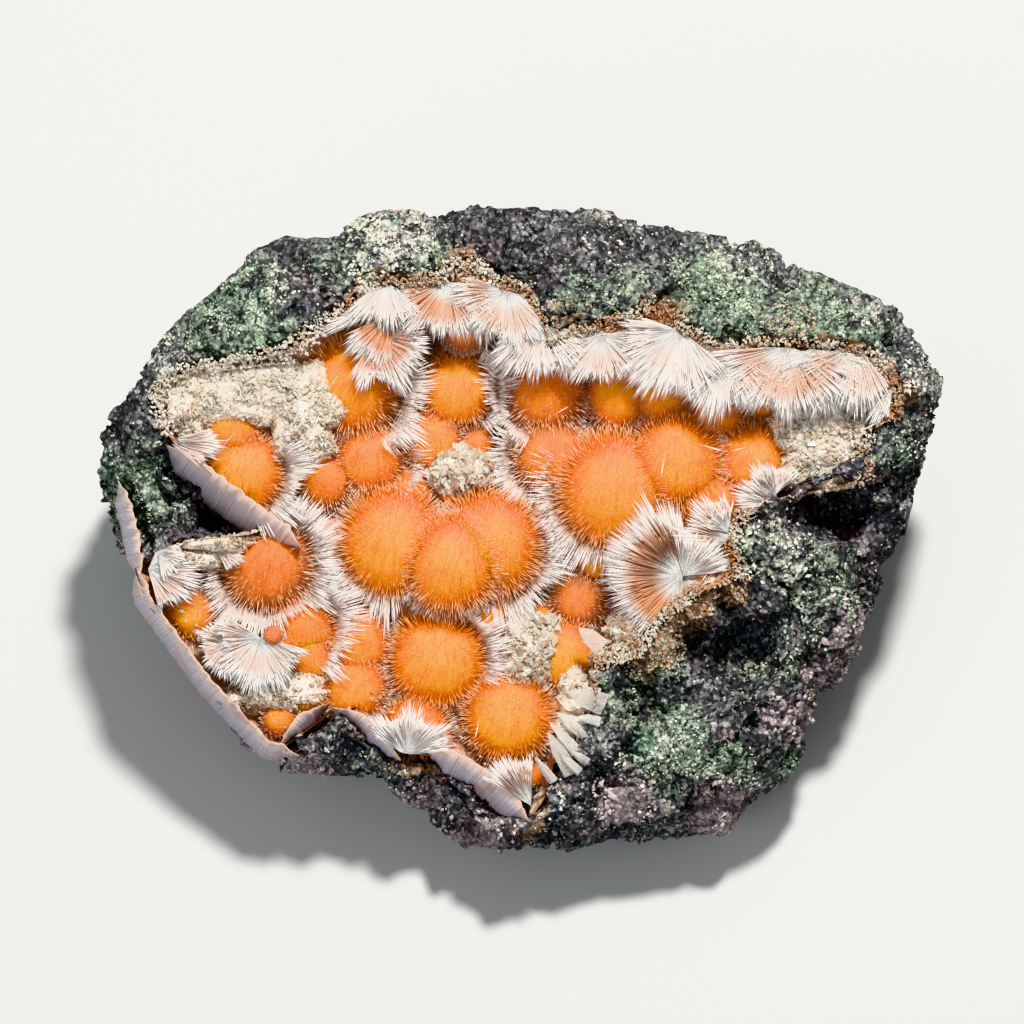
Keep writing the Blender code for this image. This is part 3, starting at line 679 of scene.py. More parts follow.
def joined_copies(name, bm, axes, places, tints, shades=((0.0, 1.0),)):
    """One mesh of many copies of a small shape, given in face millimetres. Its map holds each copy's tint,
    and a shade that runs from the first value given at the copy's root to the second at its tip."""
    bmesh.ops.triangulate(bm, faces=bm.faces)
    shape = np.array([vertex.co for vertex in bm.verts])
    corners = np.array([[vertex.index for vertex in face.verts] for face in bm.faces])
    bm.free()
    count = len(places)
    points = np.einsum("nij,kj->nki", axes, shape) + places[:, None, :]
    faces = corners[None] + (np.arange(count) * len(shape))[:, None, None]
    mesh = bpy.data.meshes.new(name)
    mesh.vertices.add(count * len(shape))
    mesh.vertices.foreach_set("co", on_face(points.reshape(-1, 3)).ravel())
    mesh.loops.add(faces.size)
    mesh.loops.foreach_set("vertex_index", faces.ravel())
    mesh.polygons.add(faces.size // 3)
    mesh.polygons.foreach_set("loop_start", np.arange(0, faces.size, 3))
    mesh.update(calc_edges=True)
    shades = np.broadcast_to(np.asarray(shades, float), (count, 2))
    along = shades[:, :1] + (shades[:, 1:] - shades[:, :1]) * shape[:, 2]
    tints = np.broadcast_to(tints[:, None], (count, len(shape)))
    uv = np.stack([tints, along], axis=2).reshape(-1, 2)[faces.ravel()]
    mesh.uv_layers.new(name="OFBake").data.foreach_set("uv", np.clip(uv, 0.002, 0.998).ravel())
    return mesh


def even_directions(count):
    """Directions spread evenly over a sphere, each a little off its place."""
    number = np.arange(count) + 0.5
    height = 1 - 2 * number / count
    turn = number * math.pi * (1 + math.sqrt(5))
    level = np.sqrt(1 - height * height)
    found = np.stack([level * np.cos(turn), level * np.sin(turn), height], 1)
    found += draw.normal(scale=0.6 / math.sqrt(count), size=found.shape)
    return found / np.linalg.norm(found, axis=1, keepdims=True)


def ball_needles(per_mm2, width, reach, thin):
    """Roots, tips, widths, tints and shades of the needles that stand clear of other balls and the rock."""
    centres = np.array([(across, up, top - radius) for across, up, radius, top, _ in balls])
    radii = np.array([ball[2] for ball in balls])
    columns = []
    for number, (centre, radius) in enumerate(zip(centres, radii)):
        ways = even_directions(int(per_mm2 * 4 * math.pi * (CORE_SHARE * radius) ** 2))
        ways = ways[ways[:, 2] > -0.4]
        tuft = np.array([wander(Vector(way) * radius + Vector((number, 0, 0))) for way in ways])
        leaning = ways + TUFT_LEAN * tuft + draw.normal(scale=0.035, size=ways.shape)
        leaning /= np.linalg.norm(leaning, axis=1, keepdims=True)
        far = draw.triangular(reach[0], reach[0] + 0.6 * (reach[1] - reach[0]), reach[1], len(ways))
        far *= 1 + 0.05 * tuft[:, 0]
        root = centre + ways * radius * ROOT_SHARE
        tip = root + leaning * (radius * (far - ROOT_SHARE))[:, None]
        keep = np.ones(len(ways), bool)
        near = np.hypot(*(centres - centre)[:, :2].T) < radii + radius
        for other in np.flatnonzero(near):
            if other != number:
                keep &= np.linalg.norm(tip - centres[other], axis=1) > CORE_SHARE * radii[other]
        share = hollow_share(tip)
        thinned = thin * np.clip((ways[:, 2] - 0.60) / 0.25, 0, 1)
        keep &= draw.uniform(size=len(ways)) > thinned
        keep &= (share < 1.0) & (tip[:, 2] > lining_level(share) - 0.6)
        count = keep.sum()
        # Painted light: a needle's tint rises where it faces out of the face and up towards the lamp, and
        # falls down the ball's sides; the ball's own tone and a random part are added.
        facing = 1.7 * (ways[keep, 2] - 0.66) + 0.7 * np.maximum(ways[keep, 1], 0) ** 2
        tints = 0.5 + facing + 0.9 * (balls[number][4] - 0.65) + draw.normal(scale=0.08, size=count)
        tints = np.clip(tints, 0, 1)
        shades = np.stack([np.zeros(count), (far[keep] - ROOT_SHARE) / (LONGEST_REACH - ROOT_SHARE)], 1)
        columns.append((root[keep], tip[keep], width * draw.uniform(0.7, 1.3, count), tints, shades))
    return columns


needle = Finish("thomsonite_needles", roughness=0.4, specular_ior_level=0.3)
needle_map = needle.copy_map()
# The needle colour twice, lit and shaded, as painted light: the shaded one is browner in the middle and keeps
# the real white tips.
bright = needle.ramp(needle_map["Y"], [
    (0.10, (1.0, 0.31, 0.012)), (0.45, (1.0, 0.34, 0.03)), (0.75, (1.0, 0.47, 0.14)), (1.0, (1.0, 0.76, 0.5)),
])
shaded_white_tipped = needle.ramp(needle_map["Y"], [
    (0.10, (0.80, 0.24, 0.05)), (0.34, (0.72, 0.32, 0.17)),
    (0.56, (0.82, 0.56, 0.44)), (0.80, (0.98, 0.92, 0.87)),
])
needle.colour(needle.mix(needle_map["X"], shaded_white_tipped, bright))


def add_needles(name, shape, columns, material):
    """Adds needles from their columns of values, in as many pieces as their triangles take."""
    roots, tips, widths, tints, shades = (np.concatenate(column) for column in zip(*columns))
    blank = shape()
    bmesh.ops.triangulate(blank, faces=blank.faces)
    pieces = math.ceil(len(roots) * len(blank.faces) / PIECE_TRIANGLES)
    blank.free()
    for part, some in enumerate(np.array_split(np.arange(len(roots)), pieces), start=1):
        axes, places = standing(roots[some], tips[some], widths[some])
        mesh = joined_copies(f"{name}_{part}", shape(), axes, places, tints[some], shades[some])
        add_piece(f"{name}_{part}", mesh, material, "crystal_crust")


add_needles("ball_coat", spike, ball_needles(**COAT), needle.material)
add_needles("ball_fringe", spindle, ball_needles(**FRINGE), needle.material)

# The broken balls: where the crust broke, balls are open and their silky fibres fan out from one point.
# A fan is a pile of fibre bundles in wedges, white at the centre and the tips, often orange-brown between.
# Fans: across, up, level, reach, first and last direction in degrees, tilt, warmth of the middle from 0 to 1.
FANS = [
    (-13.2, 22.9, 0.1, 7.6, 186, 209, 0, 0.0), (-12.8, 22.0, -0.4, 6.2, 206, 264, 0, 1.0),
    (-13.6, 24.9, 0.1, 4.8, 178, 320, 6, 0.1), (-14.8, 19.4, -0.6, 4.9, -125, 50, 0, 0.75),
    (-7.7, 24.9, -0.4, 5.8, 178, 345, 8, 0.85), (-4.4, 24.9, -0.9, 5.2, 190, 350, 4, 0.95),
    (-1.6, 23.9, 0.1, 5.6, 160, 365, 6, 0.35), (1.7, 20.8, -0.2, 5.4, 180, 350, 10, 0.1),
    (4.4, 20.0, -0.6, 5.0, 185, 355, 6, 0.05), (7.8, 19.4, 0.0, 5.0, 172, 375, 6, 0.25),
    (12.2, 20.4, -0.8, 5.6, 180, 360, 6, 1.0), (15.8, 19.9, 0.3, 6.8, 160, 320, 8, 0.05),
    (17.8, 18.9, -0.3, 6.0, 205, 330, 6, 0.45), (20.2, 18.2, 0.1, 6.6, 192, 335, 8, 0.05),
    (22.8, 18.6, -0.7, 5.8, 185, 350, 4, 0.85), (26.3, 18.4, 0.2, 7.4, 184, 340, 8, 0.6),
    (24.4, 18.6, -0.3, 6.0, 200, 330, 6, 0.1), (29.4, 18.2, -0.1, 6.0, 190, 350, 8, 0.1),
    (31.4, 18.2, -0.5, 6.0, 200, 340, 8, 0.8), (33.3, 18.4, 0.2, 6.6, 192, 345, 6, 0.3),
    (36.2, 15.8, -0.4, 4.6, 205, 320, 4, 1.0), (37.0, 14.8, 0.2, 4.8, 232, 280, 4, 0.0),
    (-35.8, 9.0, 0.1, 5.4, -46, 14, 4, 0.25), (-37.6, -3.9, -0.1, 4.8, -75, 66, 2, 0.35),
    (-36.6, -2.4, 0.1, 2.6, -80, 60, 4, 0.0), (-31.0, -1.7, -0.9, 3.4, -62, -2, 2, 0.2),
    (-26.3, -10.8, -0.2, 5.0, 150, 345, -6, 0.2), (-29.6, -11.5, -0.6, 3.2, 130, 320, 0, 0.4),
    (0.7, -27.6, -0.4, 5.6, 88, 150, -8, 0.4), (-11.8, -22.5, -0.5, 4.6, 5, 172, -8, 0.05),
    (25.6, 2.5, -0.2, 4.8, 110, 215, 4, 0.1), (25.0, 3.4, -0.3, 3.4, 40, 140, 4, 0.3),
    (21.0, -1.0, -0.2, 5.2, 100, 200, 4, 0.6), (20.4, -0.2, 0.0, 2.8, 80, 170, 4, 0.0),
    (15.9, -4.6, 0.2, 7.8, 114, 264, -4, 0.95), (15.9, -4.6, 0.1, 6.2, 92, 122, 0, 0.6),
    (15.9, -4.6, 0.4, 4.8, 6, 104, 0, 0.1), (19.9, -2.3, -0.1, 4.0, 165, 270, 0, 0.9),
    (15.9, -4.6, -0.2, 3.4, 260, 368, 0, 0.9),
]
FIBRES_PER_MM2 = 28
FIBRE_WIDTH = 0.10
BUNDLE = math.radians(5)  # fibres gather in bundles this far apart
FIBRE_DIP = math.radians(40)  # the lowest fibres of a fan go this far down into the crust
WEDGE = math.radians(17)
BODY_SHARE = 0.8  # the reach of a fan's solid body over that of its fibres
# Combs: white fringes that stand out round some balls. As fans, and the share of the reach where they start.
COMBS = [
    (-25.9, -3.6, -2.4, 7.5, 165, 425, 0, 0.4, 0.64), (-28.4, 5.6, -1.4, 7.4, -72, 32, 0, 0.1, 0.64),
    (-17.0, 13.8, -2.6, 7.8, -62, 48, 0, 0.6, 0.72), (8.8, 4.2, -3.0, 8.6, 150, 285, 0, 0.6, 0.76),
    (2.3, 14.1, -3.6, 7.2, 125, 250, 0, 0.4, 0.72), (2.6, 7.4, -4.0, 6.2, 150, 250, 0, 0.6, 0.74),
    (-8.8, -13.0, -2.8, 7.4, -25, 75, 0, 0.6, 0.76), (-24.2, -9.6, -1.6, 8.0, -48, 42, 0, 0.4, 0.76),
    (-6.6, 13.6, -3.4, 5.9, -50, 60, 0, 0.6, 0.74), (-13.6, -0.8, -3.2, 7.9, 190, 300, 0, 0.7, 0.76),
    (-3.4, -2.0, -3.2, 7.9, 250, 390, 0, 0.7, 0.76), (-15.4, 7.0, -4.0, 6.0, -60, 60, 0, 0.6, 0.74),
    (-14.8, 19.4, -0.4, 5.4, -112, 48, 0, 0.1, 0.60), (-26.3, -10.8, -0.6, 5.2, 215, 330, 0, 0.0, 0.50),
]


def fan_surface(across, up, tilt, heading):
    """How a fan's wedges differ in each direction, and how steeply its surface falls there."""
    ripple = np.array([wander(Vector((a / WEDGE * 0.7, up, across))) for a in heading])
    return ripple, -math.radians(tilt) * np.sin(heading) + 0.06 * ripple[:, 0]


def fan_fibres(across, up, level, reach, first, last, tilt, warmth, inner=0.0):
    """Roots, tips, widths, tints and shades of a fan's fibres, which gather in bundles."""
    area = 0.5 * math.radians(last - first) * reach * reach * (1 - inner * inner)
    count = int(FIBRES_PER_MM2 * area * (1 + inner))
    heading = math.radians(first) + math.radians(last - first) * draw.uniform(size=count)
    ripple, fall = fan_surface(across, up, tilt, heading)
    dip = fall + 0.04 + draw.normal(scale=0.05, size=count)
    dip = dip - FIBRE_DIP * draw.uniform(size=count) ** (1.8 - inner)
    ways = np.stack([np.cos(dip) * np.cos(heading), np.cos(dip) * np.sin(heading), np.sin(dip)], 1)
    start = reach * (inner + (0.72 - inner) * draw.uniform(0.15, 1.0, count)) * draw.uniform(0.9, 1.0, count)
    if not inner:
        gathered_at = np.round(heading / BUNDLE + ripple[:, 1]) * BUNDLE - ripple[:, 1] * BUNDLE
        heading = heading + 0.55 * (gathered_at - heading)
    heading = heading + draw.normal(scale=0.02, size=count)
    end = reach * (0.96 + 0.34 * ripple[:, 1]) * np.clip(draw.normal(0.92, 0.13, count), 0.50, 1.18)
    end = np.maximum(end, start + 0.12 * reach)
    centre = np.array([(across, up, level)])
    roots, tips = centre + ways * start[:, None], centre + ways * end[:, None]
    shades = np.stack([start / reach, np.minimum(1, end / reach)], 1)
    tints = np.clip(warmth + 0.25 * ripple[:, 2] + draw.normal(scale=0.08, size=count), 0, 1)
    widths = FIBRE_WIDTH * draw.uniform(0.5, 1.5, count) * (1 - 0.3 * inner)
    keep = (hollow_share(tips) < 1.02) & (crust_share(tips) < 0.98)
    return roots[keep], tips[keep], widths[keep], tints[keep], shades[keep]


def fan_body(bm, reach, first, last):
    """The solid part of an open ball, spun from its outline: a wedge of a sphere with a flat broken face."""
    radius = BODY_SHARE * reach
    profile = [(share * radius, 0.0) for share in np.linspace(0.0, 0.96, 9)]
    under = np.radians([-6, -20, -36, -52])
    profile += [(radius * math.cos(angle), radius * math.sin(angle)) for angle in under]
    corners = [bm.verts.new((out, 0, down)) for out, down in profile]
    outline = bm.faces.new(corners)
    spread = last - first
    turn = dict(cent=(0, 0, 0), axis=(0, 0, 1), angle=math.radians(spread), steps=int(spread / 3))
    bmesh.ops.spin(bm, geom=[outline, *corners, *outline.edges], **turn)
    bmesh.ops.remove_doubles(bm, verts=bm.verts, dist=1e-4)
    bmesh.ops.recalc_face_normals(bm, faces=bm.faces)
    bmesh.ops.triangulate(bm, faces=bm.faces)


def fan_bodies_mesh():
    """All the wedges in one mesh, with what their material reads."""
    points, paints, faces = [], [], []
    for across, up, level, reach, first, last, tilt, warmth in FANS:
        one = bmesh.new()
        fan_body(one, reach, first, last)
        flat = np.array([vertex.co for vertex in one.verts])
        corners = np.array([[vertex.index for vertex in face.verts] for face in one.faces])
        one.free()
        out = np.hypot(flat[:, 0], flat[:, 1])
        heading = np.arctan2(flat[:, 1], flat[:, 0]) % math.tau
        turned = heading + math.radians(first)
        ripple, fall = fan_surface(across, up, tilt, turned)
        fine = np.array([noise.noise(Vector((25 * a, up, 3 * across))) for a in turned])
        height = flat[:, 2] + out * (np.tan(fall) - 0.05 + 0.025 * fine)
        place = np.stack([across + out * np.cos(turned), up + out * np.sin(turned), level + height], 1)
        points.append(inside_crust(place, 0.96))
        warm = np.clip(warmth + 0.25 * ripple[:, 2], 0, 1)
        paints.append(np.stack([warm, out / reach, 9 * turned + across], 1))
        faces.append(corners + sum(len(some) for some in points[:-1]))
    points, paints, faces = np.concatenate(points), np.concatenate(paints), np.concatenate(faces)
    mesh = bpy.data.meshes.new("fan_bodies")
    mesh.from_pydata(on_face(points), [], faces.tolist())
    for name, column in zip(("warmth", "outward", "streak"), paints.T):
        keep_paint(mesh, name, column)
    return mesh


# Silk from a fan's centre to its tips, where it is white all along and where it has an orange-brown band.
COOL_SILK = [
    (0.0, (0.92, 0.90, 0.88)), (0.25, (0.96, 0.94, 0.91)),
    (0.6, (0.93, 0.86, 0.80)), (0.9, (1.0, 0.98, 0.95)),
]
WARM_SILK = [
    (0.24, (0.95, 0.90, 0.85)), (0.42, (0.76, 0.38, 0.21)),
    (0.64, (0.74, 0.36, 0.20)), (0.82, (0.99, 0.95, 0.91)),
]
fibre = Finish("thomsonite_fibres", roughness=0.35, specular_ior_level=0.4)
fibre_map = fibre.copy_map()
cool = fibre.ramp(fibre_map["Y"], COOL_SILK)
fibre.colour(fibre.mix(fibre_map["X"], cool, fibre.ramp(fibre_map["Y"], WARM_SILK)))
add_needles("fans", spindle, [fan_fibres(*fan) for fan in FANS + COMBS], fibre.material)

silk = Finish("thomsonite_silk", roughness=0.35)
line = silk.fibre_lines(3.0, 3.0)
cool = silk.ramp(silk.paint("outward"), COOL_SILK)
silky = silk.mix(silk.paint("warmth"), cool, silk.ramp(silk.paint("outward"), WARM_SILK))
silk.colour(silk.mix(1.0, silky, silk.span(line, 0.3, 0.7, 0.75, 1.05), "MULTIPLY"))
silk.bump(line, 0.0003)
add_piece("fan_bodies", fan_bodies_mesh(), silk.material, "crystal_crust")

# The broken faces: where the crust snapped off cleanly it shows a smooth side, mauve-grey and satin,
# with the fine lines of its fibres, and painted shade that darkens it down the slab. Each is a thin slab that
# falls away from the crust's edge.
# Faces: level of the upper edge, how far the slab reaches inwards and outwards of its edge, how far down,
# and where the edge goes, across and up.
BROKEN_FACES = [
    (-0.3, 1.0, 2.4, 5.5, [(-35.9, 8.4), (-33.0, 6.2), (-29.5, 3.6), (-26.0, 0.9), (-22.4, -1.8)]),
    (-0.7, 1.0, 1.0, 5.0, [(-40.8, 4.9), (-39.8, 0.4), (-39.2, -2.4), (-38.6, -5.0)]),
    (-0.7, 1.0, 1.2, 6.0, [
        (-39.0, -3.8), (-38.3, -7.0), (-35.4, -11.0), (-31.9, -15.8),
        (-28.9, -19.0), (-25.9, -22.1), (-22.6, -22.8),
    ]),
    (-0.8, 1.2, 0.6, 3.0, [(-24.4, -21.8), (-22.0, -19.8), (-19.6, -17.6)]),
    (-0.5, 1.4, 1.0, 3.5, [(-19.4, -18.0), (-16.6, -19.9), (-13.6, -22.6), (-12.4, -23.2)]),
    (-0.4, 1.2, 2.0, 4.0, [(-9.6, -22.4), (-6.4, -23.6), (-3.4, -25.8), (0.4, -29.4)]),
]
FACE_STEP = 0.16  # how far apart the slabs' points lie along the edge
FACE_TAPER = 2.5  # the slabs get narrow over this length at both ends
FACE_THICKNESS = 0.8


def broken_faces_mesh():
    """Each slab is a grid that is laid along its edge and then given its thickness."""
    bm = bmesh.new()
    paints = []
    for level, inwards, outwards, down, edge_points in BROKEN_FACES:
        line = np.array(edge_points)
        lengths = np.linalg.norm(np.diff(line, axis=0), axis=1)
        travelled = np.concatenate([[0], np.cumsum(lengths)])
        long = int(travelled[-1] / FACE_STEP)
        made = bmesh.ops.create_grid(bm, x_segments=long, y_segments=16, size=1.0)["verts"]
        for vertex in made:
            along = (vertex.co.x + 1) / 2 * travelled[-1]
            fall = (vertex.co.y + 1) / 2
            across, up = (np.interp(along, travelled, line[:, axis]) for axis in (0, 1))
            ahead = [np.interp(along + 2, travelled, line[:, axis]) for axis in (0, 1)]
            behind = [np.interp(along - 2, travelled, line[:, axis]) for axis in (0, 1)]
            way = Vector(ahead) - Vector(behind)
            way.normalize()
            fine = 0.10 * noise.noise(Vector((along * 2.2 + fall, fall * 0.5, up)))
            ragged = noise.noise(Vector((along / 1.3, up, 3.0))) * (1 - fall)
            taper = min(1.0, along / FACE_TAPER + 0.15, (travelled[-1] - along) / FACE_TAPER + 0.15)
            out = ((outwards + inwards) * fall - inwards + 0.3 * ragged) * taper + fine
            height = level + 0.2 * ragged - down * fall ** 1.8 - 0.8 * (1 - taper) + fine
            vertex.co = (across + out * way[1], up - out * way[0], height)
            paints.append((fall, along * 3.0))
    lay_on_face(bm, [vertex.co for vertex in bm.verts])
    thicken(bm, FACE_THICKNESS)
    mesh = finished_mesh(bm, "broken_faces")
    paints = np.array(paints + paints)
    keep_paint(mesh, "fall", paints[:, 0])
    keep_paint(mesh, "streak", paints[:, 1])
    mesh.shade_smooth()
    return mesh


satin = Finish("broken_face", roughness=0.38)
line = satin.fibre_lines(1.6, 4.0)
# Painted shade: the colour darkens from the slab's upper edge towards its foot, over its own pinkish and
# mauve-grey.
falling = satin.math("ADD", satin.paint("fall"), satin.span(line, 0.3, 0.7, -0.12, 0.12))
satin_and_painted_shade = satin.ramp(falling, [
    (0.10, (0.66, 0.46, 0.37)), (0.28, (0.58, 0.49, 0.48)),
    (0.44, (0.45, 0.40, 0.44)), (0.95, (0.30, 0.27, 0.32)),
])
rusty = satin.span(satin.noise(0.004, 3.0, 0.6, 5.0), 0.54, 0.66)
satin.colour(satin.mix(rusty, satin_and_painted_shade, (0.42, 0.26, 0.22)))
satin.bump(line, 0.0002)
add_piece("broken_faces", broken_faces_mesh(), satin.material, "crystal_crust")

# The druse: small glassy crystals, pale and half clear, grown together in low mounds on the lining.
# More of them are scattered over the rest of the lining, and brown ones lie in a band along the rim.
# Patches: across, up, half width, half height, level, crystals, their size, how brown from 0 to 1.
DRUSE_PATCHES = [
    (-29.0, 14.2, 9.4, 3.6, -1.0, 4700, 0.5, 0.15), (-22.2, 11.6, 4.4, 5.0, -1.3, 2500, 0.5, 0.2),
    (-34.2, 12.0, 2.6, 3.2, -0.9, 900, 0.45, 0.3), (30.2, 8.4, 5.2, 5.6, -1.4, 3700, 0.55, 0.2),
    (-6.4, 6.0, 3.6, 2.6, -3.4, 900, 0.7, 0.25), (0.8, -12.2, 3.2, 4.0, -2.6, 1300, 0.7, 0.25),
    (11.2, -10.2, 3.2, 2.6, -0.9, 1500, 0.5, 0.4), (19.4, -5.2, 2.8, 2.2, -0.3, 1200, 0.4, 0.9),
    (5.2, -17.4, 2.0, 4.4, -2.4, 500, 0.6, 0.2), (-27.4, -17.0, 4.4, 1.7, -2.2, 900, 0.4, 0.5),
    (-24.6, -16.4, 5.0, 2.2, -1.5, 1300, 0.4, 0.35), (11.4, 19.2, 2.2, 2.6, -0.6, 800, 0.4, 0.95),
    (-5.0, 24.2, 2.4, 2.2, -0.7, 700, 0.4, 0.9), (-11.2, 21.2, 1.4, 3.0, -0.6, 500, 0.4, 1.0),
    (5.6, -21.4, 2.4, 4.4, -1.0, 700, 0.5, 0.1), (-33.4, -2.9, 3.6, 1.2, -0.5, 500, 0.4, 0.3),
    (-31.2, -1.2, 4.4, 1.1, 0.0, 600, 0.35, 0.5), (17.2, -6.2, 2.4, 1.4, -0.3, 400, 0.4, 0.75),
]
SCATTERED = 2000
SCATTER_MARGIN = (0.5, 3.0)  # how far they stop short of the rim, and of the edge at the lower left
RIM_GRAINS = 5200  # brown and olive grains in a band along the hollow's rim, over the fans' roots
RIM_BAND = (-0.7, 2.1)  # where the band lies, in millimetres inside the rim
MOUND_DEPTH = 3.0
MOUND_RISE = 0.3  # how far a mound stands above its patch's level


def glassy_crystal():
    """One crystal: a stubby double pyramid."""
    bm = bmesh.new()
    bmesh.ops.create_uvsphere(bm, u_segments=4, v_segments=2, radius=0.5)
    bmesh.ops.scale(bm, vec=(0.8, 0.8, 1.3), verts=bm.verts)
    return bm


def ragged_edge(angles, across, up):
    """How far a patch reaches in each direction, against an even oval."""
    waves = []
    for angle in angles:
        ahead, aside = math.cos(angle), math.sin(angle)
        broad = noise.noise((1.6 * ahead, 1.6 * aside, across))
        narrow = noise.noise((5 * ahead, 5 * aside, up))
        waves.append((broad, narrow))
    return 1 + np.array(waves) @ (0.34, 0.22)


def druse_mounds_mesh():
    """The ground that the crystals of each patch stand on."""
    whole = bmesh.new()
    for across, up, half_width, half_height, level, *_ in DRUSE_PATCHES:
        made = bmesh.ops.create_icosphere(whole, subdivisions=4, radius=1.0)["verts"]
        ragged = ragged_edge([math.atan2(vertex.co.y, vertex.co.x) for vertex in made], across, up)
        for vertex, reach in zip(made, ragged):
            vertex.co.x *= reach
            vertex.co.y *= reach
        bmesh.ops.scale(whole, vec=(half_width, half_height, MOUND_DEPTH), verts=made)
        bmesh.ops.translate(whole, vec=(across, up, level + MOUND_RISE - MOUND_DEPTH), verts=made)
    places = inside_crust(np.array([vertex.co for vertex in whole.verts]), 0.96)
    places[:, 2] += 0.5 * grain_at(places, 1.6, 3.0)
    lay_on_face(whole, places)
    return finished_mesh(whole, "druse_mounds")


def turned(count, sizes):
    """Frames with random turns, of the sizes given."""
    spins = draw.normal(size=(count, 4))
    w, x, y, z = (spins / np.linalg.norm(spins, axis=1, keepdims=True)).T
    turns = np.array([
        (1 - 2 * (y * y + z * z), 2 * (x * y - z * w), 2 * (x * z + y * w)),
        (2 * (x * y + z * w), 1 - 2 * (x * x + z * z), 2 * (y * z - x * w)),
        (2 * (x * z - y * w), 2 * (y * z + x * w), 1 - 2 * (x * x + y * y)),
    ])
    return turns.transpose(2, 0, 1) * sizes[:, None, :]


def patch_grains():
    """Places, sizes and tints of the crystals on the mounds."""
    for across, up, half_width, half_height, level, count, size, brown in DRUSE_PATCHES:
        spot = draw.uniform(-1, 1, (count, 2)) * 1.05
        far = np.hypot(spot[:, 0], spot[:, 1])
        spot, far = spot[far < 1], far[far < 1]
        lump = np.array([noise.noise(Vector((across + x * 4, up + y * 4, 0))) for x, y in spot])
        dome = MOUND_DEPTH * (np.sqrt(1 - far * far) - 1) + MOUND_RISE + 0.5 * lump
        dome = dome + draw.uniform(-0.25, 0.15, len(spot))
        spot *= ragged_edge(np.arctan2(spot[:, 1], spot[:, 0]), across, up)[:, None]
        found = np.stack([across + half_width * spot[:, 0], up + half_height * spot[:, 1], level + dome], 1)
        sizes = size * (0.5 + 1.3 * draw.uniform(0, 1, len(spot)) ** 2.5)
        yield inside_crust(found, 0.985), sizes, brown * 0.6 + draw.uniform(0, 0.4, len(spot)) + 0.2 * lump


def scattered_grains():
    """The same of the crystals between the balls."""
    angles = draw.uniform(0, math.tau, SCATTERED)
    shares = draw.uniform(0.3, 1, SCATTERED) ** 0.35
    lower_left = (np.sin(angles) < 0) & (np.cos(angles) < 0.15)
    reach = shares * (crust_reach(angles) - np.where(lower_left, SCATTER_MARGIN[1], SCATTER_MARGIN[0]))
    places = np.stack([reach * np.cos(angles), reach * np.sin(angles), lining_level(shares) + 0.1], 1)
    return places, draw.uniform(0.3, 0.7, SCATTERED), draw.uniform(0.1, 0.9, SCATTERED)


def rim_grains():
    """The same of the crystals along the upper and right rim, paler at the upper left."""
    angles = draw.uniform(0, math.tau, RIM_GRAINS * 2)
    inwards = draw.triangular(RIM_BAND[0], 0.3, RIM_BAND[1], RIM_GRAINS * 2)
    reach = reach_towards(HOLLOW_OUTLINE, angles) - inwards
    rim = np.stack([reach * np.cos(angles), reach * np.sin(angles), 0.5 - 0.6 * inwards], 1)
    rim[:, 2] += 0.5 * grain_at(rim, 1.5, 21.0) + draw.uniform(-0.5, 0.2, len(rim))
    rim = rim[(rim[:, 1] > 9.5) | (rim[:, 0] > 7)][:RIM_GRAINS]
    sizes = draw.uniform(0.2, 0.48, len(rim))
    browner = np.where(rim[:, 0] < -18, 0.15, 0.50)
    tints = browner + 0.6 * grain_at(rim, 2.4, 31.0) + draw.normal(scale=0.10, size=len(rim))
    return rim, sizes, np.clip(tints, 0.05, 1)


def druse_mesh():
    groups = [*patch_grains(), scattered_grains(), rim_grains()]
    places, sizes, tints = (np.concatenate(column) for column in zip(*groups))
    shapes = turned(len(places), sizes[:, None] * draw.uniform(0.7, 1.3, (len(places), 3)))
    mesh = joined_copies("druse", glassy_crystal(), shapes, places, np.clip(tints, 0, 1))
    mesh.shade_flat()
    return mesh


grains = Finish("druse", roughness=0.15, transmission_weight=0.5, ior=1.45)
grains.colour(grains.ramp(grains.copy_map()["X"], [
    (0.0, (0.93, 0.90, 0.83)), (0.35, (0.84, 0.78, 0.66)), (0.55, (0.66, 0.50, 0.36)),
    (0.8, (0.60, 0.32, 0.18)), (1.0, (0.84, 0.42, 0.22)),
]))
add_piece("druse", druse_mesh(), grains.material, "crystal_crust")
mound = Finish("druse_mounds", roughness=0.4)
mound.colour(mound.ramp(mound.noise(0.003, 4.0, 0.7), [
    (0.36, (0.78, 0.56, 0.40)), (0.5, (0.84, 0.76, 0.64)), (0.64, (0.92, 0.88, 0.80)),
]))
mound.bump(mound.cells(0.0005), 0.0003)
add_piece("druse_mounds", druse_mounds_mesh(), mound.material, "crystal_crust")

# The clear blades: a spray of flat, glassy crystals with pointed ends at the lower right of the hollow.
# Each is a six-sided bar, pressed flat and bevelled, that lies almost level and points out of the crust.
# Blades: foot across, up and out, heading in degrees, length, width.
BLADES = [
    (7.8, -11.8, -0.6, 139, 3.4, 2.2), (8.1, -15.0, -0.4, 152, 2.1, 1.6), (8.1, -17.5, -0.3, 160, 4.4, 2.7),
    (6.9, -20.7, -0.5, 146, 4.8, 2.2), (5.9, -22.8, -0.3, 133, 5.6, 1.5), (4.8, -24.4, -0.4, 120, 5.4, 1.9),
    (3.0, -25.2, -0.9, 128, 3.6, 1.2), (7.0, -21.8, 0.1, 127, 3.0, 1.2), (7.6, -19.2, 0.1, 166, 2.6, 1.3),
    (5.6, -24.2, 0.0, 137, 3.0, 1.1), (7.6, -16.4, -0.2, 170, 2.4, 1.4), (6.4, -23.2, 0.3, 146, 2.2, 1.0),
    (6.2, -21.0, -0.2, 132, 3.0, 0.9), (4.2, -23.2, -0.3, 112, 3.2, 0.9), (5.2, -20.2, -0.6, 150, 2.2, 1.0),
]
BLADE_THICKNESS = 0.7
BLADE_POINT = 1.9  # the tip's distance from the foot, over that of the shoulders
BLADE_SHOULDER = 0.86  # the width there, over that of the foot
BLADE_LEAN = math.radians(78)
BLADE_BEVEL = 0.06


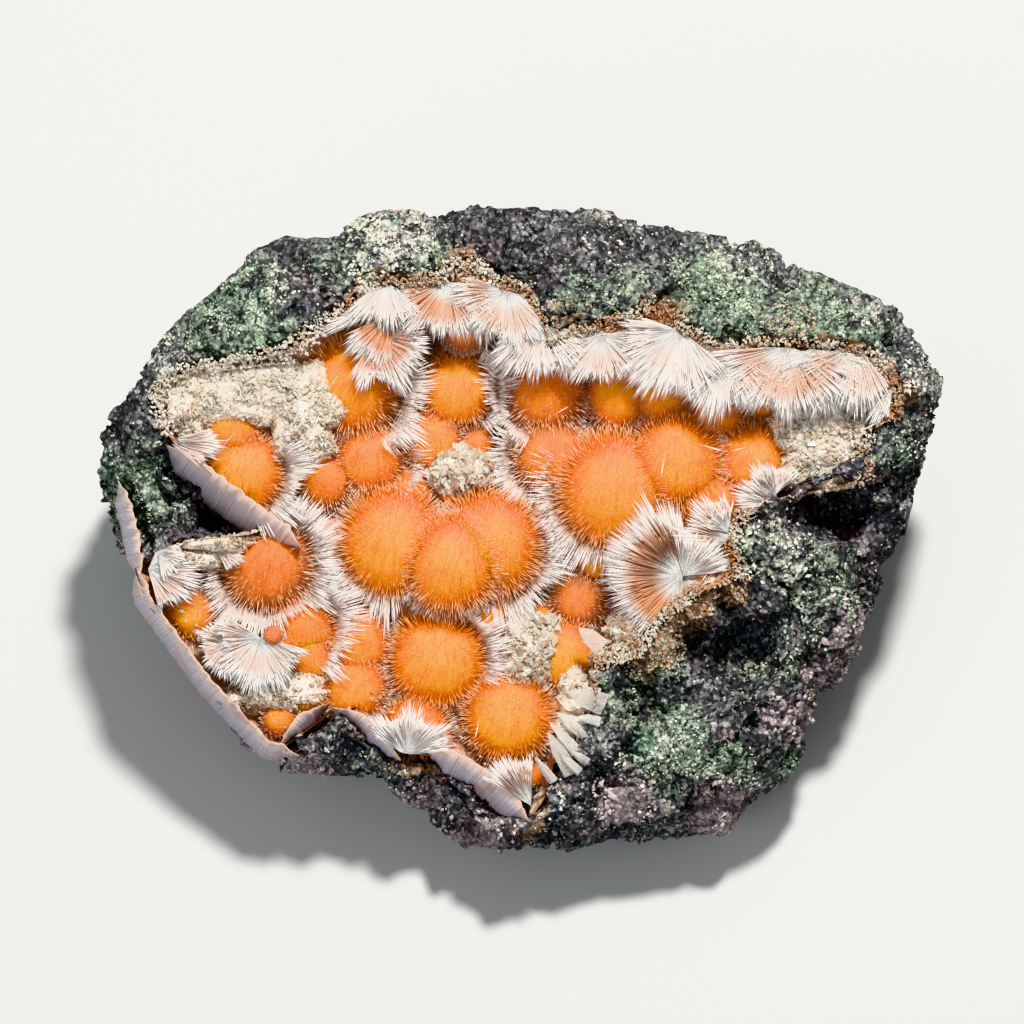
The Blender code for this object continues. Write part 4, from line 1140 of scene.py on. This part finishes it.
def blades_mesh():
    whole = bmesh.new()
    for number, (across, up, out, heading, length, width) in enumerate(BLADES):
        bar = dict(cap_ends=True, segments=6, radius1=1.0, radius2=BLADE_SHOULDER, depth=1.0)
        made = bmesh.ops.create_cone(whole, **bar)["verts"]
        bmesh.ops.translate(whole, vec=(0, 0, 0.5), verts=made)
        caps = [face for face in {f for v in made for f in v.link_faces} if len(face.verts) == 6]
        end = max(caps, key=lambda face: face.calc_center_median().z)
        made.append(bmesh.ops.poke(whole, faces=[end])["verts"][0])
        made[-1].co.z = BLADE_POINT
        size = (width / 2, BLADE_THICKNESS / 2, length / BLADE_POINT)
        bmesh.ops.scale(whole, vec=size, verts=made)
        lay = Matrix.Rotation(math.radians(heading), 3, "Z") @ Matrix.Rotation(BLADE_LEAN, 3, "Y")
        lay = lay @ Matrix.Rotation(math.pi / 2 + 0.5 * math.sin(5 * number), 3, "Z")
        bmesh.ops.rotate(whole, matrix=lay, verts=made)
        bmesh.ops.translate(whole, vec=(across, up, out), verts=made)
    lay_on_face(whole, [vertex.co for vertex in whole.verts])
    bmesh.ops.recalc_face_normals(whole, faces=whole.faces)
    edge = dict(offset=BLADE_BEVEL * MM, affect="EDGES", segments=1, profile=0.5, material=-1)
    bmesh.ops.bevel(whole, geom=whole.edges[:], **edge)
    return finished_mesh(whole, "clear_blades")


clear = Finish("clear_blades", roughness=0.10, transmission_weight=0.70, ior=1.45)
clear.colour(clear.ramp(clear.noise(0.0006, 4.0, 0.7), [
    (0.38, (0.96, 0.88, 0.80)), (0.52, (0.99, 0.95, 0.90)), (0.66, (1.0, 0.99, 0.97)),
]))
clear.bump(clear.noise(0.0004, 4.0, 0.7), 0.0002)
add_piece("clear_blades", blades_mesh(), clear.material, "crystal_crust")

# The rock's crumbs: grains of celadonite, and small mauve and cream crystals, grown all over its cracks.
# Each lies where a line from above its spot meets the rock. One mesh holds them all.
# Kinds of crumb: their spots, how many to a square millimetre, smallest and largest size, and their tints.
WHOLE_FACE = [(0.0, 0.0, 44.0, 1.0)]
CRUMBS = [
    (CELADONITE, 11.0, 0.16, 0.44, 0.0, 0.30), (MAUVE, 3.0, 0.3, 0.8, 0.54, 0.68),
    (CREAM, 5.0, 0.2, 0.6, 0.76, 1.0), (RIND, 9.0, 0.2, 0.5, 0.34, 0.50),
    (WHOLE_FACE, 1.2, 0.15, 0.36, 0.0, 0.7),
]
CRYSTAL_TRIANGLES = 8


def crumb_rows(spots, per_mm2, smallest, largest, low, high):
    """Places, sizes and tints of one kind of crumb."""
    rows = []
    rock = BVHTree.FromObject(basalt, bpy.context.evaluated_depsgraph_get())
    for across, up, radius, amount in spots:
        count = int(per_mm2 * math.pi * radius * radius * amount)
        far = radius * 1.15 * np.sqrt(draw.uniform(0, 1, count))
        turn = draw.uniform(0, math.tau, count)
        found = np.stack([across + far * np.cos(turn), up + far * np.sin(turn), np.full(count, 30.0)], 1)
        share = hollow_share(found)
        for place, outside in zip(found, share > 1.015):
            patch = noise.noise(Vector(place) / 1.7)
            if not outside or patch < -0.12:
                continue
            hit, facing, *_ = rock.ray_cast(Vector(on_face(place)), -OUT_OF_FACE)
            if hit and facing.dot(OUT_OF_FACE) > 0.35:
                tint = low + (high - low) * min(1, max(0, 0.5 + 0.8 * patch + draw.normal(scale=0.22)))
                rows.append((*to_face(hit), draw.uniform(smallest, largest), tint))
    return rows


def crumbs_mesh():
    rows = np.array([row for kind in CRUMBS for row in crumb_rows(*kind)])
    rows = rows[:PIECE_TRIANGLES // CRYSTAL_TRIANGLES]
    sizes = rows[:, 3:4] * draw.uniform(0.7, 1.3, (len(rows), 3))
    mesh = joined_copies("rock_crumbs", glassy_crystal(), turned(len(rows), sizes), rows[:, :3], rows[:, 4])
    mesh.shade_flat()
    return mesh


crumb_paint = Finish("rock_crumbs", roughness=0.55)
crumb_paint.colour(crumb_paint.ramp(crumb_paint.copy_map()["X"], [
    (0.0, (0.04, 0.055, 0.045)), (0.12, (0.15, 0.21, 0.14)), (0.22, (0.28, 0.37, 0.25)),
    (0.31, (0.54, 0.62, 0.46)), (0.34, (0.22, 0.12, 0.07)), (0.50, (0.62, 0.44, 0.30)),
    (0.54, (0.30, 0.22, 0.23)), (0.72, (0.66, 0.55, 0.54)), (0.76, (0.40, 0.38, 0.30)),
    (1.0, (0.93, 0.90, 0.80)),
]))
crumb_paint.bump(crumb_paint.noise(0.0002, 3.0, 0.8), 0.0001)
add_piece("rock_crumbs", crumbs_mesh(), crumb_paint.material, "basalt_matrix")

# The loose needles: a few long, stout crystals of the same white thomsonite, which grew out of the balls
# or broke off and lie across them. Each is one three-sided spindle.
# Needles: where each starts and ends, across, up and out, and its width.
LOOSE = [
    (16.6, 8.8, 1.6, 20.1, 7.8, 2.4, 0.16), (20.1, 7.8, 2.4, 22.1, 8.2, 2.2, 0.10),
    (12.8, 4.0, 2.0, 13.8, 1.5, 2.8, 0.12), (13.3, 1.0, 1.6, 16.6, -0.6, 1.8, 0.24),
    (14.1, 8.0, 1.8, 13.6, 5.0, 2.6, 0.12), (-8.4, 5.8, -0.6, -7.9, 7.2, 0.6, 0.14),
    (-4.4, -18.5, 1.2, -4.9, -21.0, 2.0, 0.13), (-11.4, -17.0, 0.4, -12.2, -19.2, 1.0, 0.12),
    (-1.9, -14.5, -0.6, -1.2, -15.3, 0.6, 0.16), (-19.9, 13.5, 0.8, -18.6, 15.4, 1.4, 0.10),
    (-16.8, 17.4, 0.4, -15.0, 18.8, 1.2, 0.10), (-30.6, 7.8, 1.0, -29.0, 9.6, 1.6, 0.10),
    (2.0, 11.0, 0.2, 4.6, 12.4, 1.0, 0.10), (-21.4, -2.2, 0.6, -19.4, -4.0, 1.4, 0.12),
    (8.0, -5.0, -0.4, 9.6, -6.4, 0.6, 0.12), (25.4, 6.0, 0.2, 27.4, 7.2, 1.0, 0.10),
]
loose = np.array(LOOSE)
plain = np.full(len(loose), 0.1), np.tile((0.75, 1.0), (len(loose), 1))
add_needles("loose_needles", spindle, [(loose[:, :3], loose[:, 3:6], loose[:, 6], *plain)], fibre.material)
